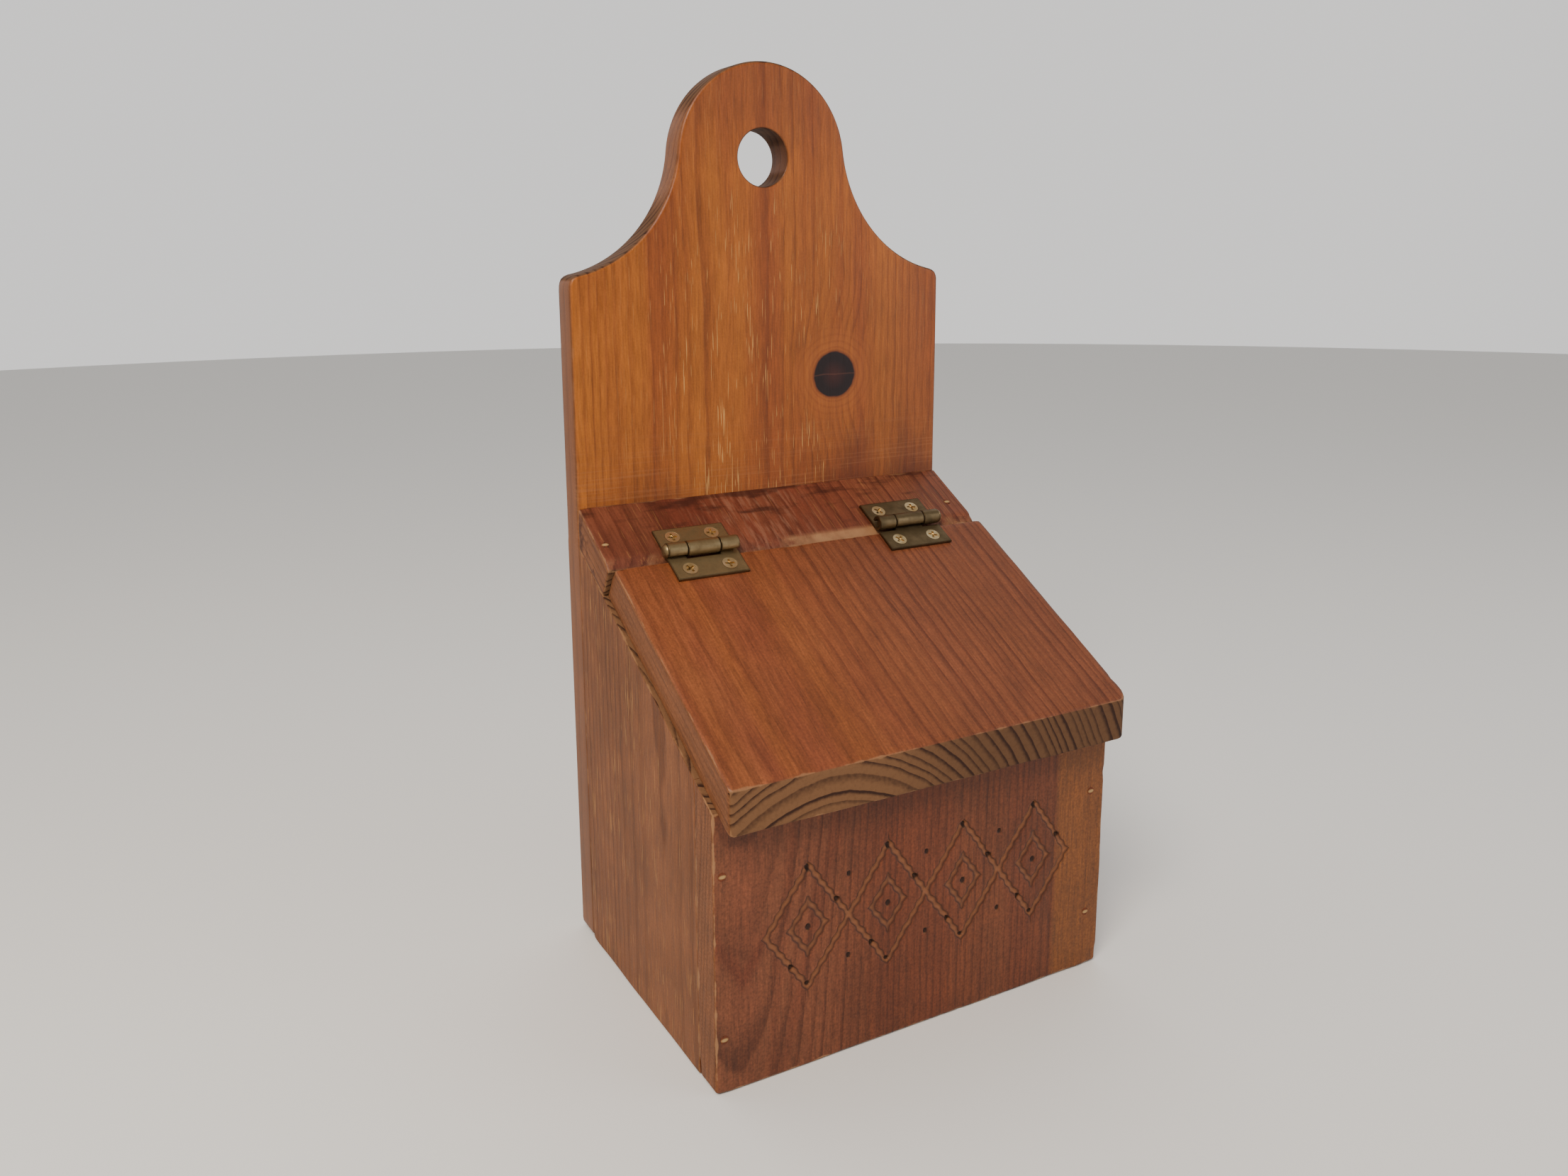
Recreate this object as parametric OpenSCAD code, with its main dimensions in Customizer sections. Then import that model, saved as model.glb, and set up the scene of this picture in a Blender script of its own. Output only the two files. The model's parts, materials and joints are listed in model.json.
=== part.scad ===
// A wall salt box of softwood boards with a sloping lid on two brass hinges.
// X runs across the front, Y towards the wall, Z up. The origin is the middle
// of the base, on the surface that the box stands on.

/* [Box] */
// Width over the two sides
box_w = 144; // [120:1:200]
// Depth from the front face to the wall face
box_d = 106; // [90:1:145]
// Height of the front face, up to the slope
front_h = 86.2; // [65:0.2:105]
// Slope of the lid and of the side tops, in degrees
slope = 30; // [22:1:36]
// Thickness of the front board
front_t = 11; // [8:0.5:14]
// Thickness of the two sides
side_t = 11; // [8:0.5:14]
// Thickness of the bottom board
bottom_t = 9; // [6:0.5:12]

/* [Back board] */
// Thickness of the back board
back_t = 11; // [8:0.5:14]
// Height to the top of the arch
back_h = 298.5; // [285:0.5:345]
// Height of the shoulders
shoulder_h = 229.5; // [218:0.5:238]
// Radius of the arched top
arch_r = 32; // [26:0.5:38]
// Angle at which each cove runs out on its shoulder, in degrees
cove_end = 7; // [4:1:16]
// Place of the arch, sideways from the middle
arch_x = -1; // [-6:0.5:6]
// Diameter of the hanging hole
hole_d = 19; // [10:0.5:24]
// Height of the hanging hole above the centre of the arch
hole_up = 1; // [-3:0.5:5]
// Place of the hanging hole, sideways from the centre of the arch
hole_side = -0.5; // [-4:0.5:4]

/* [Lid and rail] */
// Thickness of the lid and of the hinge rail
lid_t = 11.8; // [10:0.2:15]
// Length of the rail's top, from the back board to its front edge
rail_len = 29.6; // [27:0.2:36]
// Width of the planed strip along the rail's front arris
ease_w = 4.6; // [1:0.2:5.4]
// Depth of that strip
ease_h = 1.6; // [0.6:0.2:2.6]
// Gap between the rail and the lid
lid_gap = 0.4; // [0.3:0.1:1.5]
// Play between the lid and the tops of the walls that it closes on
lid_seat = 0.1; // [0.05:0.05:0.4]
// How far the lid stands out past the front face
lid_out = 7.3; // [4:0.1:16]
// How far the lid's left edge lies inside the left side
lid_in = 1.6; // [0:0.2:3]
// How far the lid's right edge stands out past the right side
lid_past = 1.6; // [0:0.2:3]
// Rounding of the lid's two front corners
corner_r = 2.6; // [1:0.2:6]

/* [Hinges] */
// Length of a hinge along its pin
hinge_l = 25.4; // [22:0.2:30]
// Width of one leaf, from the pin's centre to its edge
leaf_w = 11.8; // [11:0.2:14]
// Thickness of the sheet that a leaf is cut from
leaf_t = 1.1; // [0.8:0.1:1.4]
// Diameter of the hinge pin
pin_d = 2.8; // [1.8:0.1:3]
// Length of the middle knuckle
mid_l = 11.8; // [8:0.2:13]
// Distance from the box's left face to the left hinge
hinge_in_left = 20; // [14:0.2:26]
// Distance from the box's right face to the right hinge
hinge_in_right = 17.6; // [14:0.2:26]
// Distance of the pin behind the lid's back edge
pin_back = 2.4; // [1:0.1:3.2]
// Diameter of the domed head on the pin
pin_head_d = 4.6; // [3.4:0.1:4.9]
// Height of that head
pin_head_h = 1.3; // [0.8:0.1:2]

/* [Screws and nails] */
// Diameter of a screw's head
screw_head_d = 5; // [4.2:0.1:5.4]
// Diameter of a screw's shank
screw_d = 2.6; // [2:0.1:3]
// Length of a screw
screw_l = 9.4; // [7:0.2:9.8]
// Distance between the two screws of a leaf
screw_pitch = 14.2; // [13:0.2:16]
// Distance from the pin's centre to a row of screws
screw_row = 7.6; // [6:0.1:8]
// Diameter of a nail
nail_d = 1.6; // [1.2:0.1:2]
// Diameter of a nail's head
nail_head_d = 2.6; // [2.2:0.1:3.2]
// Length of a nail
nail_l = 25; // [20:1:32]
// Depth to which the nail heads are punched in
nail_sink = 1; // [0.6:0.1:1.6]
// Distance of the front's and the rail's nails from the left face
nail_in_left = 2.8; // [2.4:0.2:8]
// Distance of the front's and the rail's nails from the right face
nail_in_right = 5.8; // [2.4:0.2:8]
// Height of the lowest nails above the base
nail_foot = 17.2; // [14:0.2:24]
// Distance of the topmost nails below the slope
nail_drop = 18.8; // [15:0.2:26]
// How much closer together the front's right-hand nails are driven, at each end
nail_stagger = 2.4; // [0:0.2:5]
// Distance of the rail's nails from the back board, along its top
rail_nail = 18.6; // [14:0.2:21]

/* [Hidden] */
$fn = 64;

// Running clearance of a pin in its knuckles, of a fastener in its hole,
// and between the ends of two knuckles
fit = 0.05;
knuckle_gap = 0.2;
// Slit where the end of a curled knuckle meets its own leaf
curl_gap = 0.15;
// How much deeper a pilot hole is than its screw or nail
pilot = 0.4;
// A cut that has to pass a face runs on by this much
past = 1;
// Nail head, screw tip, and the cross recess, which stays inside its cone
nail_head_h = 0.8;
tip_l = 2.4;
recess_w = 0.7;
recess_l = screw_head_d / 2;
recess_h = (screw_head_d - screw_d) * 0.3;
// How far the plain end of a hinge pin lies inside its knuckle
pin_short = 0.8;

half_w = box_w / 2;
front_y = -box_d / 2;
wall_y = box_d / 2;
back_y = wall_y - back_t;
inner_front_y = front_y + front_t;
rise = tan(slope);
// Height of the side tops where they meet the front board and the back board
inner_front_h = front_h + front_t * rise;
back_z = front_h + (back_y - front_y) * rise;

// Lengths along the slope, measured down from where the side tops meet the
// back board
plumb = lid_t * rise;
rail_s = rail_len - plumb;
lid_s = rail_s + lid_gap;
lid_end_s = (back_y - front_y + lid_out) / cos(slope);
pin_s = lid_s - pin_back;

bore_r = pin_d / 2 + fit;
knuckle_r = bore_r + leaf_t;
left_hinge_x = -half_w + hinge_in_left + hinge_l / 2;
right_hinge_x = half_w - hinge_in_right - hinge_l / 2;

// The arch, and the coves that run from it to the shoulders
arch_z = back_h - arch_r;
function cove_reach(side) = half_w - side * arch_x;
cove_fall = arch_z - shoulder_h;
function cove_r(side) =
    (pow(cove_reach(side), 2) + pow(cove_fall, 2) - pow(arch_r, 2))
    / (2 * (arch_r - cove_reach(side) * sin(cove_end) + cove_fall * cos(cove_end)));
function cove_x(side) = side * (half_w + cove_r(side) * sin(cove_end));
function cove_z(side) = shoulder_h + cove_r(side) * cos(cove_end);
// Where a cove touches the arch
function touch(side) = let (k = arch_r / (arch_r + cove_r(side)))
    [arch_x + k * (cove_x(side) - arch_x), arch_z + k * (cove_z(side) - arch_z)];

// Nail places. Each is x and z on the front or back face.
nail_left = nail_in_left - half_w;
nail_right = half_w - nail_in_right;
front_nail_top = front_h - nail_drop;
front_nail_at = [[nail_left, nail_foot], [nail_left, front_nail_top],
    [nail_right, nail_foot + nail_stagger], [nail_right, front_nail_top - 2 * nail_stagger]];
rail_nail_at = [nail_left, nail_right];
back_nail_x = half_w - side_t / 2;
back_nail_top = back_z - nail_l;
back_nail_at = [for (x = [-back_nail_x, back_nail_x],
    z = [nail_foot, (nail_foot + back_nail_top) / 2, back_nail_top]) [x, z]];
bottom_nail_at = [for (x = [-half_w / 2, half_w / 2]) [x, bottom_t / 2]];

// Draws a profile of (y, z) points from x0 to x1
module along_x(x0, x1) {
    translate([x0, 0, 0])
        rotate([90, 0, 90])
            linear_extrude(x1 - x0)
                children();
}

// Places things on the slope: s is down the slope, n is up from the side tops
module on_slope(s, n) {
    translate([0, back_y, back_z])
        rotate([slope, 0, 0])
            translate([0, -s, n])
                children();
}

// Puts a nail's own frame, with its head up +Z, on the front or the back face
module on_front(at) {
    translate([at[0], front_y, at[1]]) rotate([90, 0, 0]) children();
}

module on_back(at) {
    translate([at[0], wall_y, at[1]]) rotate([-90, 0, 0]) children();
}

module on_rail(x) {
    translate([x, 0, 0]) on_slope(rail_nail - plumb, lid_t) children();
}

// A nail, or with grow the hole that it fits in
module nail_form(grow = 0) {
    translate([0, 0, -nail_sink - nail_head_h - grow])
        cylinder(d = nail_head_d + 2 * grow, h = nail_head_h + grow + (grow > 0 ? nail_sink + past : 0));
    translate([0, 0, -nail_sink - nail_l - (grow > 0 ? pilot : 0)])
        cylinder(d = nail_d + 2 * grow, h = nail_l - nail_head_h / 2 + (grow > 0 ? pilot : 0));
}

module nail_hole() { nail_form(fit); }

// The wood filler over a punched nail head
module filler() {
    translate([0, 0, -nail_sink])
        cylinder(d = nail_head_d, h = nail_sink);
}

// Profile of a countersunk wood screw, with grow for the hole that it fits in
module screw_form(grow = 0) {
    head_r = screw_head_d / 2 + grow;
    shank_r = screw_d / 2 + grow;
    sunk = head_r - shank_r;
    deep = screw_l + (grow > 0 ? pilot : 0);
    top = grow > 0 ? past : 0;
    rotate_extrude()
        polygon([[0, top], [head_r, top], [head_r, -grow], [shank_r, -sunk - grow],
            [shank_r, tip_l - deep], [0, -deep]]);
}

module screw() {
    difference() {
        screw_form();
        for (turn = [0, 90])
            rotate([0, 0, turn + 35])
                translate([-recess_l / 2, -recess_w / 2, -recess_h])
                    cube([recess_l, recess_w, recess_h + past]);
    }
}

// The two screws of one leaf. toward is 1 for the rail's leaf, -1 for the lid's.
// Its own frame has the pin along X, up the slope +Y and away from the wood +Z.
module leaf_screw_places(toward) {
    for (x = [-screw_pitch / 2, screw_pitch / 2])
        translate([x, toward * screw_row, leaf_t - knuckle_r])
            children();
}

// One leaf, curled round the pin over each of its knuckle spans
module leaf(toward, spans) {
    knuckle_free = knuckle_r + knuckle_gap;
    difference() {
        union() {
            translate([-hinge_l / 2, toward > 0 ? knuckle_free : -leaf_w, -knuckle_r])
                cube([hinge_l, leaf_w - knuckle_free, leaf_t]);
            for (span = spans)
                along_x(span[0], span[1])
                    knuckle_profile(toward, knuckle_free);
        }
        leaf_screw_places(toward) screw_form(fit);
    }
}

module knuckle_profile(toward, reach) {
    difference() {
        union() {
            circle(knuckle_r);
            translate([toward > 0 ? 0 : -reach, -knuckle_r]) square([reach, leaf_t]);
        }
        circle(bore_r);
        translate([toward > 0 ? 0 : -reach, leaf_t - knuckle_r]) square([reach, curl_gap]);
    }
}

// The knuckles' spans along the pin: both ends, or the middle
end_spans = [[-hinge_l / 2, -mid_l / 2 - knuckle_gap / 2],
    [mid_l / 2 + knuckle_gap / 2, hinge_l / 2]];
mid_span = [[-mid_l / 2 + knuckle_gap / 2, mid_l / 2 - knuckle_gap / 2]];

// The pin, with its domed head on the side that head_side names
module pin(head_side) {
    dome_r = (pow(pin_head_d / 2, 2) + pow(pin_head_h, 2)) / (2 * pin_head_h);
    rotate([0, head_side * 90, 0]) {
        translate([0, 0, pin_short - hinge_l / 2])
            cylinder(d = pin_d, h = hinge_l - pin_short + 2 * fit);
        translate([0, 0, hinge_l / 2 + fit])
            rotate_extrude()
                intersection() {
                    translate([0, pin_head_h - dome_r]) circle(dome_r);
                    square([pin_head_d / 2, pin_head_h]);
                }
    }
}

module at_hinge(x) {
    translate([x, 0, 0]) on_slope(pin_s, lid_t + knuckle_r) children();
}

module screws_of(x, toward) {
    at_hinge(x) leaf_screw_places(toward) screw();
}

module screw_holes(toward) {
    for (x = [left_hinge_x, right_hinge_x])
        at_hinge(x) leaf_screw_places(toward) screw_form(fit);
}

// The full-width back board, with its arch, coves and hanging hole
module back_outline() {
    difference() {
        union() {
            translate([-half_w, 0]) square([box_w, shoulder_h]);
            polygon([[-half_w, shoulder_h], [half_w, shoulder_h], touch(1),
                [arch_x, arch_z], touch(-1)]);
            translate([arch_x, arch_z]) circle(arch_r, $fn = 128);
        }
        for (side = [-1, 1])
            translate([cove_x(side), cove_z(side)]) circle(cove_r(side), $fn = 160);
        translate([arch_x + hole_side, arch_z + hole_up]) circle(hole_d / 2);
    }
}

module back_board() {
    color("#b8662a")
        difference() {
            translate([0, wall_y, 0]) rotate([90, 0, 0]) linear_extrude(back_t) back_outline();
            for (at = concat(back_nail_at, bottom_nail_at)) on_back(at) nail_hole();
        }
}

module side_board(x0) {
    difference() {
        along_x(x0, x0 + side_t)
            polygon([[inner_front_y, 0], [back_y, 0], [back_y, back_z],
                [inner_front_y, inner_front_h]]);
        for (at = front_nail_at) on_front(at) nail_hole();
        for (at = back_nail_at) on_back(at) nail_hole();
        for (x = rail_nail_at) on_rail(x) nail_hole();
    }
}

module side_left() { color("#8a5636") side_board(-half_w); }

module side_right() { color("#8a5636") side_board(half_w - side_t); }

module front_board() {
    color("#87482a")
        difference() {
            along_x(-half_w, half_w)
                polygon([[front_y, 0], [inner_front_y, 0], [inner_front_y, inner_front_h],
                    [front_y, front_h]]);
            for (at = front_nail_at) on_front(at) nail_hole();
        }
}

module bottom_board() {
    color("#95603c")
        difference() {
            translate([side_t - half_w, inner_front_y, 0])
                cube([box_w - 2 * side_t, back_y - inner_front_y, bottom_t]);
            for (at = bottom_nail_at) on_back(at) nail_hole();
        }
}

module hinge_rail() {
    color("#84402a")
        difference() {
            on_slope(0, 0)
                along_x(-half_w, half_w)
                    polygon([[0, 0], [-rail_s, 0], [-rail_s, lid_t - ease_h],
                        [ease_w - rail_s, lid_t], [plumb, lid_t]]);
            screw_holes(1);
            for (x = rail_nail_at) on_rail(x) nail_hole();
        }
}

// The lid seen from above: square at the back, rounded at its front corners
module lid_plan() {
    x0 = lid_in - half_w;
    x1 = half_w + lid_past;
    y0 = front_y - lid_out;
    translate([x0, y0 + corner_r]) square([x1 - x0, box_d + lid_out]);
    translate([x0 + corner_r, y0]) square([x1 - x0 - 2 * corner_r, 2 * corner_r]);
    for (x = [x0 + corner_r, x1 - corner_r])
        translate([x, y0 + corner_r]) circle(corner_r);
}

module lid() {
    color("#9a4a28")
        difference() {
            intersection() {
                on_slope(0, 0)
                    along_x(-box_w, box_w)
                        polygon([[-lid_s, lid_seat], [lid_seat * rise - lid_end_s, lid_seat],
                            [plumb - lid_end_s, lid_t], [-lid_s, lid_t]]);
                linear_extrude(back_h) lid_plan();
            }
            screw_holes(-1);
        }
}

// The left hinge has its lid leaf on the two end knuckles and its pin's head
// to the left. The right hinge is the same hinge turned round.
module hinge_left_rail_leaf() { color("#7d6440") at_hinge(left_hinge_x) leaf(1, mid_span); }

module hinge_left_lid_leaf() { color("#7d6440") at_hinge(left_hinge_x) leaf(-1, end_spans); }

module hinge_left_pin() { color("#8d744b") at_hinge(left_hinge_x) pin(-1); }

module hinge_right_rail_leaf() { color("#7d6440") at_hinge(right_hinge_x) leaf(1, end_spans); }

module hinge_right_lid_leaf() { color("#7d6440") at_hinge(right_hinge_x) leaf(-1, mid_span); }

module hinge_right_pin() { color("#8d744b") at_hinge(right_hinge_x) pin(1); }

module hinge_left_rail_screws() { color("#b59a5a") screws_of(left_hinge_x, 1); }

module hinge_left_lid_screws() { color("#b59a5a") screws_of(left_hinge_x, -1); }

module hinge_right_rail_screws() { color("#b59a5a") screws_of(right_hinge_x, 1); }

module hinge_right_lid_screws() { color("#b59a5a") screws_of(right_hinge_x, -1); }

module front_nails() { color("#8f8f8c") for (at = front_nail_at) on_front(at) nail_form(); }

module rail_nails() { color("#8f8f8c") for (x = rail_nail_at) on_rail(x) nail_form(); }

module back_nails() { color("#8f8f8c") for (at = back_nail_at) on_back(at) nail_form(); }

module bottom_nails() { color("#8f8f8c") for (at = bottom_nail_at) on_back(at) nail_form(); }

module front_nail_fillers() { color("#c9a06a") for (at = front_nail_at) on_front(at) filler(); }

module rail_nail_fillers() { color("#c9a06a") for (x = rail_nail_at) on_rail(x) filler(); }

back_board();
side_left();
side_right();
front_board();
bottom_board();
hinge_rail();
lid();
hinge_left_rail_leaf();
hinge_left_lid_leaf();
hinge_left_pin();
hinge_right_rail_leaf();
hinge_right_lid_leaf();
hinge_right_pin();
hinge_left_rail_screws();
hinge_left_lid_screws();
hinge_right_rail_screws();
hinge_right_lid_screws();
front_nails();
rail_nails();
back_nails();
bottom_nails();
front_nail_fillers();
rail_nail_fillers();
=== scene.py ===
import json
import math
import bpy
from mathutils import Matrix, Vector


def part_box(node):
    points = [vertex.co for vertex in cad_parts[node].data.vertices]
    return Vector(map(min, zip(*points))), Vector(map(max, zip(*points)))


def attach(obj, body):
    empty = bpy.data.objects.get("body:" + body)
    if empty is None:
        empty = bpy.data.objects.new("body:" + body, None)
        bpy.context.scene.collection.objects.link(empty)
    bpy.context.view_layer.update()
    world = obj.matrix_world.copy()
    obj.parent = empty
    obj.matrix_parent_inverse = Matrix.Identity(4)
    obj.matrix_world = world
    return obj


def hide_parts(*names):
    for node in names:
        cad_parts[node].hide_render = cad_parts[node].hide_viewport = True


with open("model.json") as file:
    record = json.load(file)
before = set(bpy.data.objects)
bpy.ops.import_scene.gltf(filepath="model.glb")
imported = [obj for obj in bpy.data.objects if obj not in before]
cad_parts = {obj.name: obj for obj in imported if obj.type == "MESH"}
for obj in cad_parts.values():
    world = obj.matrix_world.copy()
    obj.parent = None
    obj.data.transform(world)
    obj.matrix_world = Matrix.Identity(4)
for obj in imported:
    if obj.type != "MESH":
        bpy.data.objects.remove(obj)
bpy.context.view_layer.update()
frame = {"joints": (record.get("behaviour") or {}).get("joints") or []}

# Dresses a wall salt box: nailed softwood boards, an arched back board with a knot and a
# hanging hole, and a sloping lid on two old brass butt hinges. Points are millimetres
# until make_piece turns them into a mesh.

from types import SimpleNamespace

import bmesh
import bpy
import numpy as np
from bpy.props import FloatProperty, FloatVectorProperty, IntProperty, PointerProperty
from mathutils import Matrix, Vector, geometry, noise

bl_info = {"name": "Salt box with hinged lid", "version": (1, 0, 0), "blender": (4, 5, 0),
           "location": "3D View > Sidebar > Salt box",
           "description": "Makes the boards, brass hinges, screws and nails of a wall salt box",
           "category": "Object"}


def linear(hex_code, alpha=1.0):
    """Turns an sRGB hex colour into the linear colour that the shaders work in."""
    parts = [int(hex_code[i:i + 2], 16) / 255 for i in (1, 3, 5)]
    return (*(c / 12.92 if c <= 0.04045 else ((c + 0.055) / 1.055) ** 2.4 for c in parts), alpha)


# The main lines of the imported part

def node_box(node):
    """Lowest and highest corners of a node, in millimetres."""
    return [np.array(corner) * 1000 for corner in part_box(node)]


class Plan:
    """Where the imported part's boards lie. On the slope, s runs down it and n up from it."""

    front_lo, front_hi = node_box("front_board")
    side_lo, side_hi = node_box("side_left")
    back_lo, back_hi = node_box("back_board")
    bottom_lo, bottom_hi = node_box("bottom_board")
    lid_lo, lid_hi = node_box("lid")
    left, right = front_lo[0], front_hi[0]
    front_y, inner_y = front_lo[1], front_hi[1]
    back_y, wall_y = back_lo[1], back_hi[1]
    side_t = side_hi[0] - side_lo[0]
    rise = (side_hi[2] - front_hi[2]) / (back_y - inner_y)
    slope = math.atan(rise)
    down, up = math.sin(slope), math.cos(slope)
    front_h = front_hi[2] - (inner_y - front_y) * rise
    back_z = side_hi[2]
    lid_t = (node_box("hinge_rail")[1][2] - back_z) * up
    # The lid lies this much above the slope, and this far from the rail
    seat, worn_gap = 0.1, 0.4
    lid_s = (back_y - lid_hi[1] - seat * down) / up
    lid_end_s = (back_y - lid_lo[1]) / up
    rail_s = lid_s - worn_gap
    pin = np.array(frame["joints"][0]["pos_m"]) * 1000
    pin_s = -((pin[1] - back_y) * up + (pin[2] - back_z) * down)
    knuckle_r = (back_y - pin[1]) * down + (pin[2] - back_z) * up - lid_t


def on_slope(x, s, n):
    """Points on the slope, from s down it and n above it."""
    return np.stack([x, Plan.back_y - s * Plan.up - n * Plan.down,
                     Plan.back_z - s * Plan.down + n * Plan.up], -1)


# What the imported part's boxes don't tell, in millimetres: the hanging hole's place and
# radius, the play round screws and nails, and the nails, seen from the front or, on the
# rail, as distances down the slope. The knot's place is in metres, as in the materials.
HOLE, HOLE_R = (-1.5, 267.5), 9.5
KNOT = (0.0272, 0, 0.1933)
PLAY = 0.05
FRONT_NAILS = ((-69.2, 17.2), (-69.2, 67.4), (66.2, 19.6), (66.2, 62.6))
RAIL_NAILS = ((-69.2, 11.787), (66.2, 11.787))
BACK_NAILS = tuple((x, z) for x in (-66.5, 66.5) for z in (17.2, 66.62, 116.05))
BOTTOM_NAILS = ((-36.0, 4.5), (36.0, 4.5))
LEAF_BODY = {"rail": "box", "lid": "lid"}
# The rail and the lid were cut from one board, whose grain runs down the slope
SLOPE_GRAIN = {"tilt": math.radians(60), "pith": (-38.0, -55.0), "ring": 2.8, "waves": 3.0}


# Meshes

def drift(points, scale, seed):
    """Smooth noise from -1 to 1 at each point, with features of about scale."""
    shift = Vector((seed * 17.3, seed * 5.1, -seed * 9.7))
    return np.array([noise.noise(Vector(p) / scale + shift) for p in points.tolist()])


def make_piece(name, points, faces, attributes=None, smooth_below=40.0):
    """Turns points in millimetres and their faces into a closed, outward-facing object."""
    mesh = bpy.data.meshes.new(name)
    mesh.from_pydata((np.asarray(points) * 0.001).tolist(), [], faces)
    for key, values in (attributes or {}).items():
        layer = mesh.attributes.new(key, "FLOAT", "POINT")
        layer.data.foreach_set("value", np.asarray(values, np.float32))
    work = bmesh.new()
    work.from_mesh(mesh)
    bmesh.ops.remove_doubles(work, verts=work.verts, dist=1e-7)
    bmesh.ops.dissolve_degenerate(work, edges=work.edges, dist=1e-7)
    bmesh.ops.recalc_face_normals(work, faces=work.faces)
    work.to_mesh(mesh)
    work.free()
    mesh.shade_smooth()
    mesh.set_sharp_from_angle(angle=math.radians(smooth_below))
    piece = bpy.data.objects.new(name, mesh)
    bpy.context.collection.objects.link(piece)
    return piece


def join_forms(forms):
    """Joins several (points, faces) into one."""
    points, faces, count = [], [], 0
    for p, f in forms:
        points.append(np.asarray(p))
        faces += [[i + count for i in face] for face in f]
        count += len(p)
    return np.concatenate(points), faces


def grid_lines(length, rim, step, fine=None):
    """Places of the grid lines across a board: close together near its arrises and, where
    fine is (start, end, step), over that stretch."""
    near = [rim * (1 - math.tan(math.radians(a))) for a in (45, 34, 18, 0)] + [rim + 0.4]
    stops = [near[-1], length - near[-1]]
    steps = [step]
    if fine:
        stops[1:1] = fine[:2]
        steps = [step, fine[2], step]
    lines = near + [length - v for v in near]
    for start, end, gap in zip(stops, stops[1:], steps):
        lines += list(np.linspace(start, end, max(1, round((end - start) / gap)) + 1))
    return np.unique(np.round(lines, 4))


def worn_rims(plain, rims, seed):
    """How far each arris of a board is rounded. rims are (axis, side, axis, side, rounding)
    for the arrises that are more worn than the plain ones; side is 0 or 1."""
    def rounding(p, size):
        r = np.full(len(p), plain)
        for axis_a, side_a, axis_b, side_b, more in rims:
            a = np.abs(p[:, axis_a] - side_a * size[axis_a])
            b = np.abs(p[:, axis_b] - side_b * size[axis_b])
            r = np.where((a < 2.5 * more) & (b < 2.5 * more), np.maximum(r, more), r)
        r *= 0.8 + 0.45 * drift(p, 16.0, seed)
        nick = drift(p, 3.5, seed + 3)
        return r + np.where(r > 0.4, np.clip(nick - 0.42, 0, 1) * 1.6, 0)
    return rounding


def board_form(size, lines, rounding, place, seed, shape=None):
    """A board as a closed grid whose arrises are rounded by rounding(points, size). Its own
    box goes from zero to size, and place puts it in the part. shape may move the points and
    gives more attributes. Returns points, faces and attributes, where edge is the distance
    to the closest arris."""
    size = np.array(size, float)
    points, faces, count = [], [], 0
    for axis in range(3):
        b, c = (axis + 1) % 3, (axis + 2) % 3
        grid_b, grid_c = np.meshgrid(lines[b], lines[c], indexing="ij")
        index = np.arange(grid_b.size).reshape(grid_b.shape)
        quads = np.stack([index[:-1, :-1], index[1:, :-1], index[1:, 1:], index[:-1, 1:]],
                         -1).reshape(-1, 4)
        for side in (0, 1):
            p = np.zeros((grid_b.size, 3))
            p[:, axis] = size[axis] * side
            p[:, b], p[:, c] = grid_b.ravel(), grid_c.ravel()
            points.append(p)
            faces.append((quads if side else quads[:, ::-1]) + count)
            count += len(p)
    p, same = np.unique(np.round(np.concatenate(points), 4), axis=0, return_inverse=True)
    faces = same.reshape(-1)[np.concatenate(faces)]
    edge = np.sort(np.minimum(p, size - p), axis=1)[:, 1]
    r = rounding(p, size)[:, None]
    core = np.clip(p, r, size - r)
    out = p - core
    out /= np.maximum(np.linalg.norm(out, axis=1, keepdims=True), 1e-9)
    moved = core + out * (r - 0.05 * (1 + drift(p, 30.0, seed)[:, None]))
    attributes = {"edge": edge}
    if shape:
        moved, more = shape(p, moved, size)
        attributes.update(more)
    return place(moved), faces.tolist(), attributes


def loop_normals(loop):
    """Miter directions to the left of a closed loop."""
    step = np.roll(loop, -1, axis=0) - loop
    step /= np.linalg.norm(step, axis=1, keepdims=True)
    left = np.stack([-step[:, 1], step[:, 0]], -1)
    both = left + np.roll(left, 1, axis=0)
    length = np.linalg.norm(both, axis=1, keepdims=True)
    return both / length * np.minimum(2 / length, 1.5)


def inside(points, loops):
    """Whether each point lies inside the outer loop and outside the holes."""
    result = np.zeros(len(points), bool)
    for loop in loops:
        a, b = loop, np.roll(loop, -1, axis=0)
        for (x0, y0), (x1, y1) in zip(a, b):
            if y0 != y1:
                cross = (points[:, 1] > y0) != (points[:, 1] > y1)
                result ^= cross & (points[:, 0] < x0 + (points[:, 1] - y0) * (x1 - x0) / (y1 - y0))
    return result


def arris_rings(thickness, rim):
    """Rings round an outline: how far each lies in from it and below the front face."""
    turn = [math.radians(a) for a in (0, 22, 45, 68, 90)]
    front = [(rim + 0.4, 0)] + [(rim * (1 - math.sin(a)), rim * (1 - math.cos(a))) for a in turn]
    return front + [(inset, thickness - depth) for inset, depth in reversed(front)]


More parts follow.
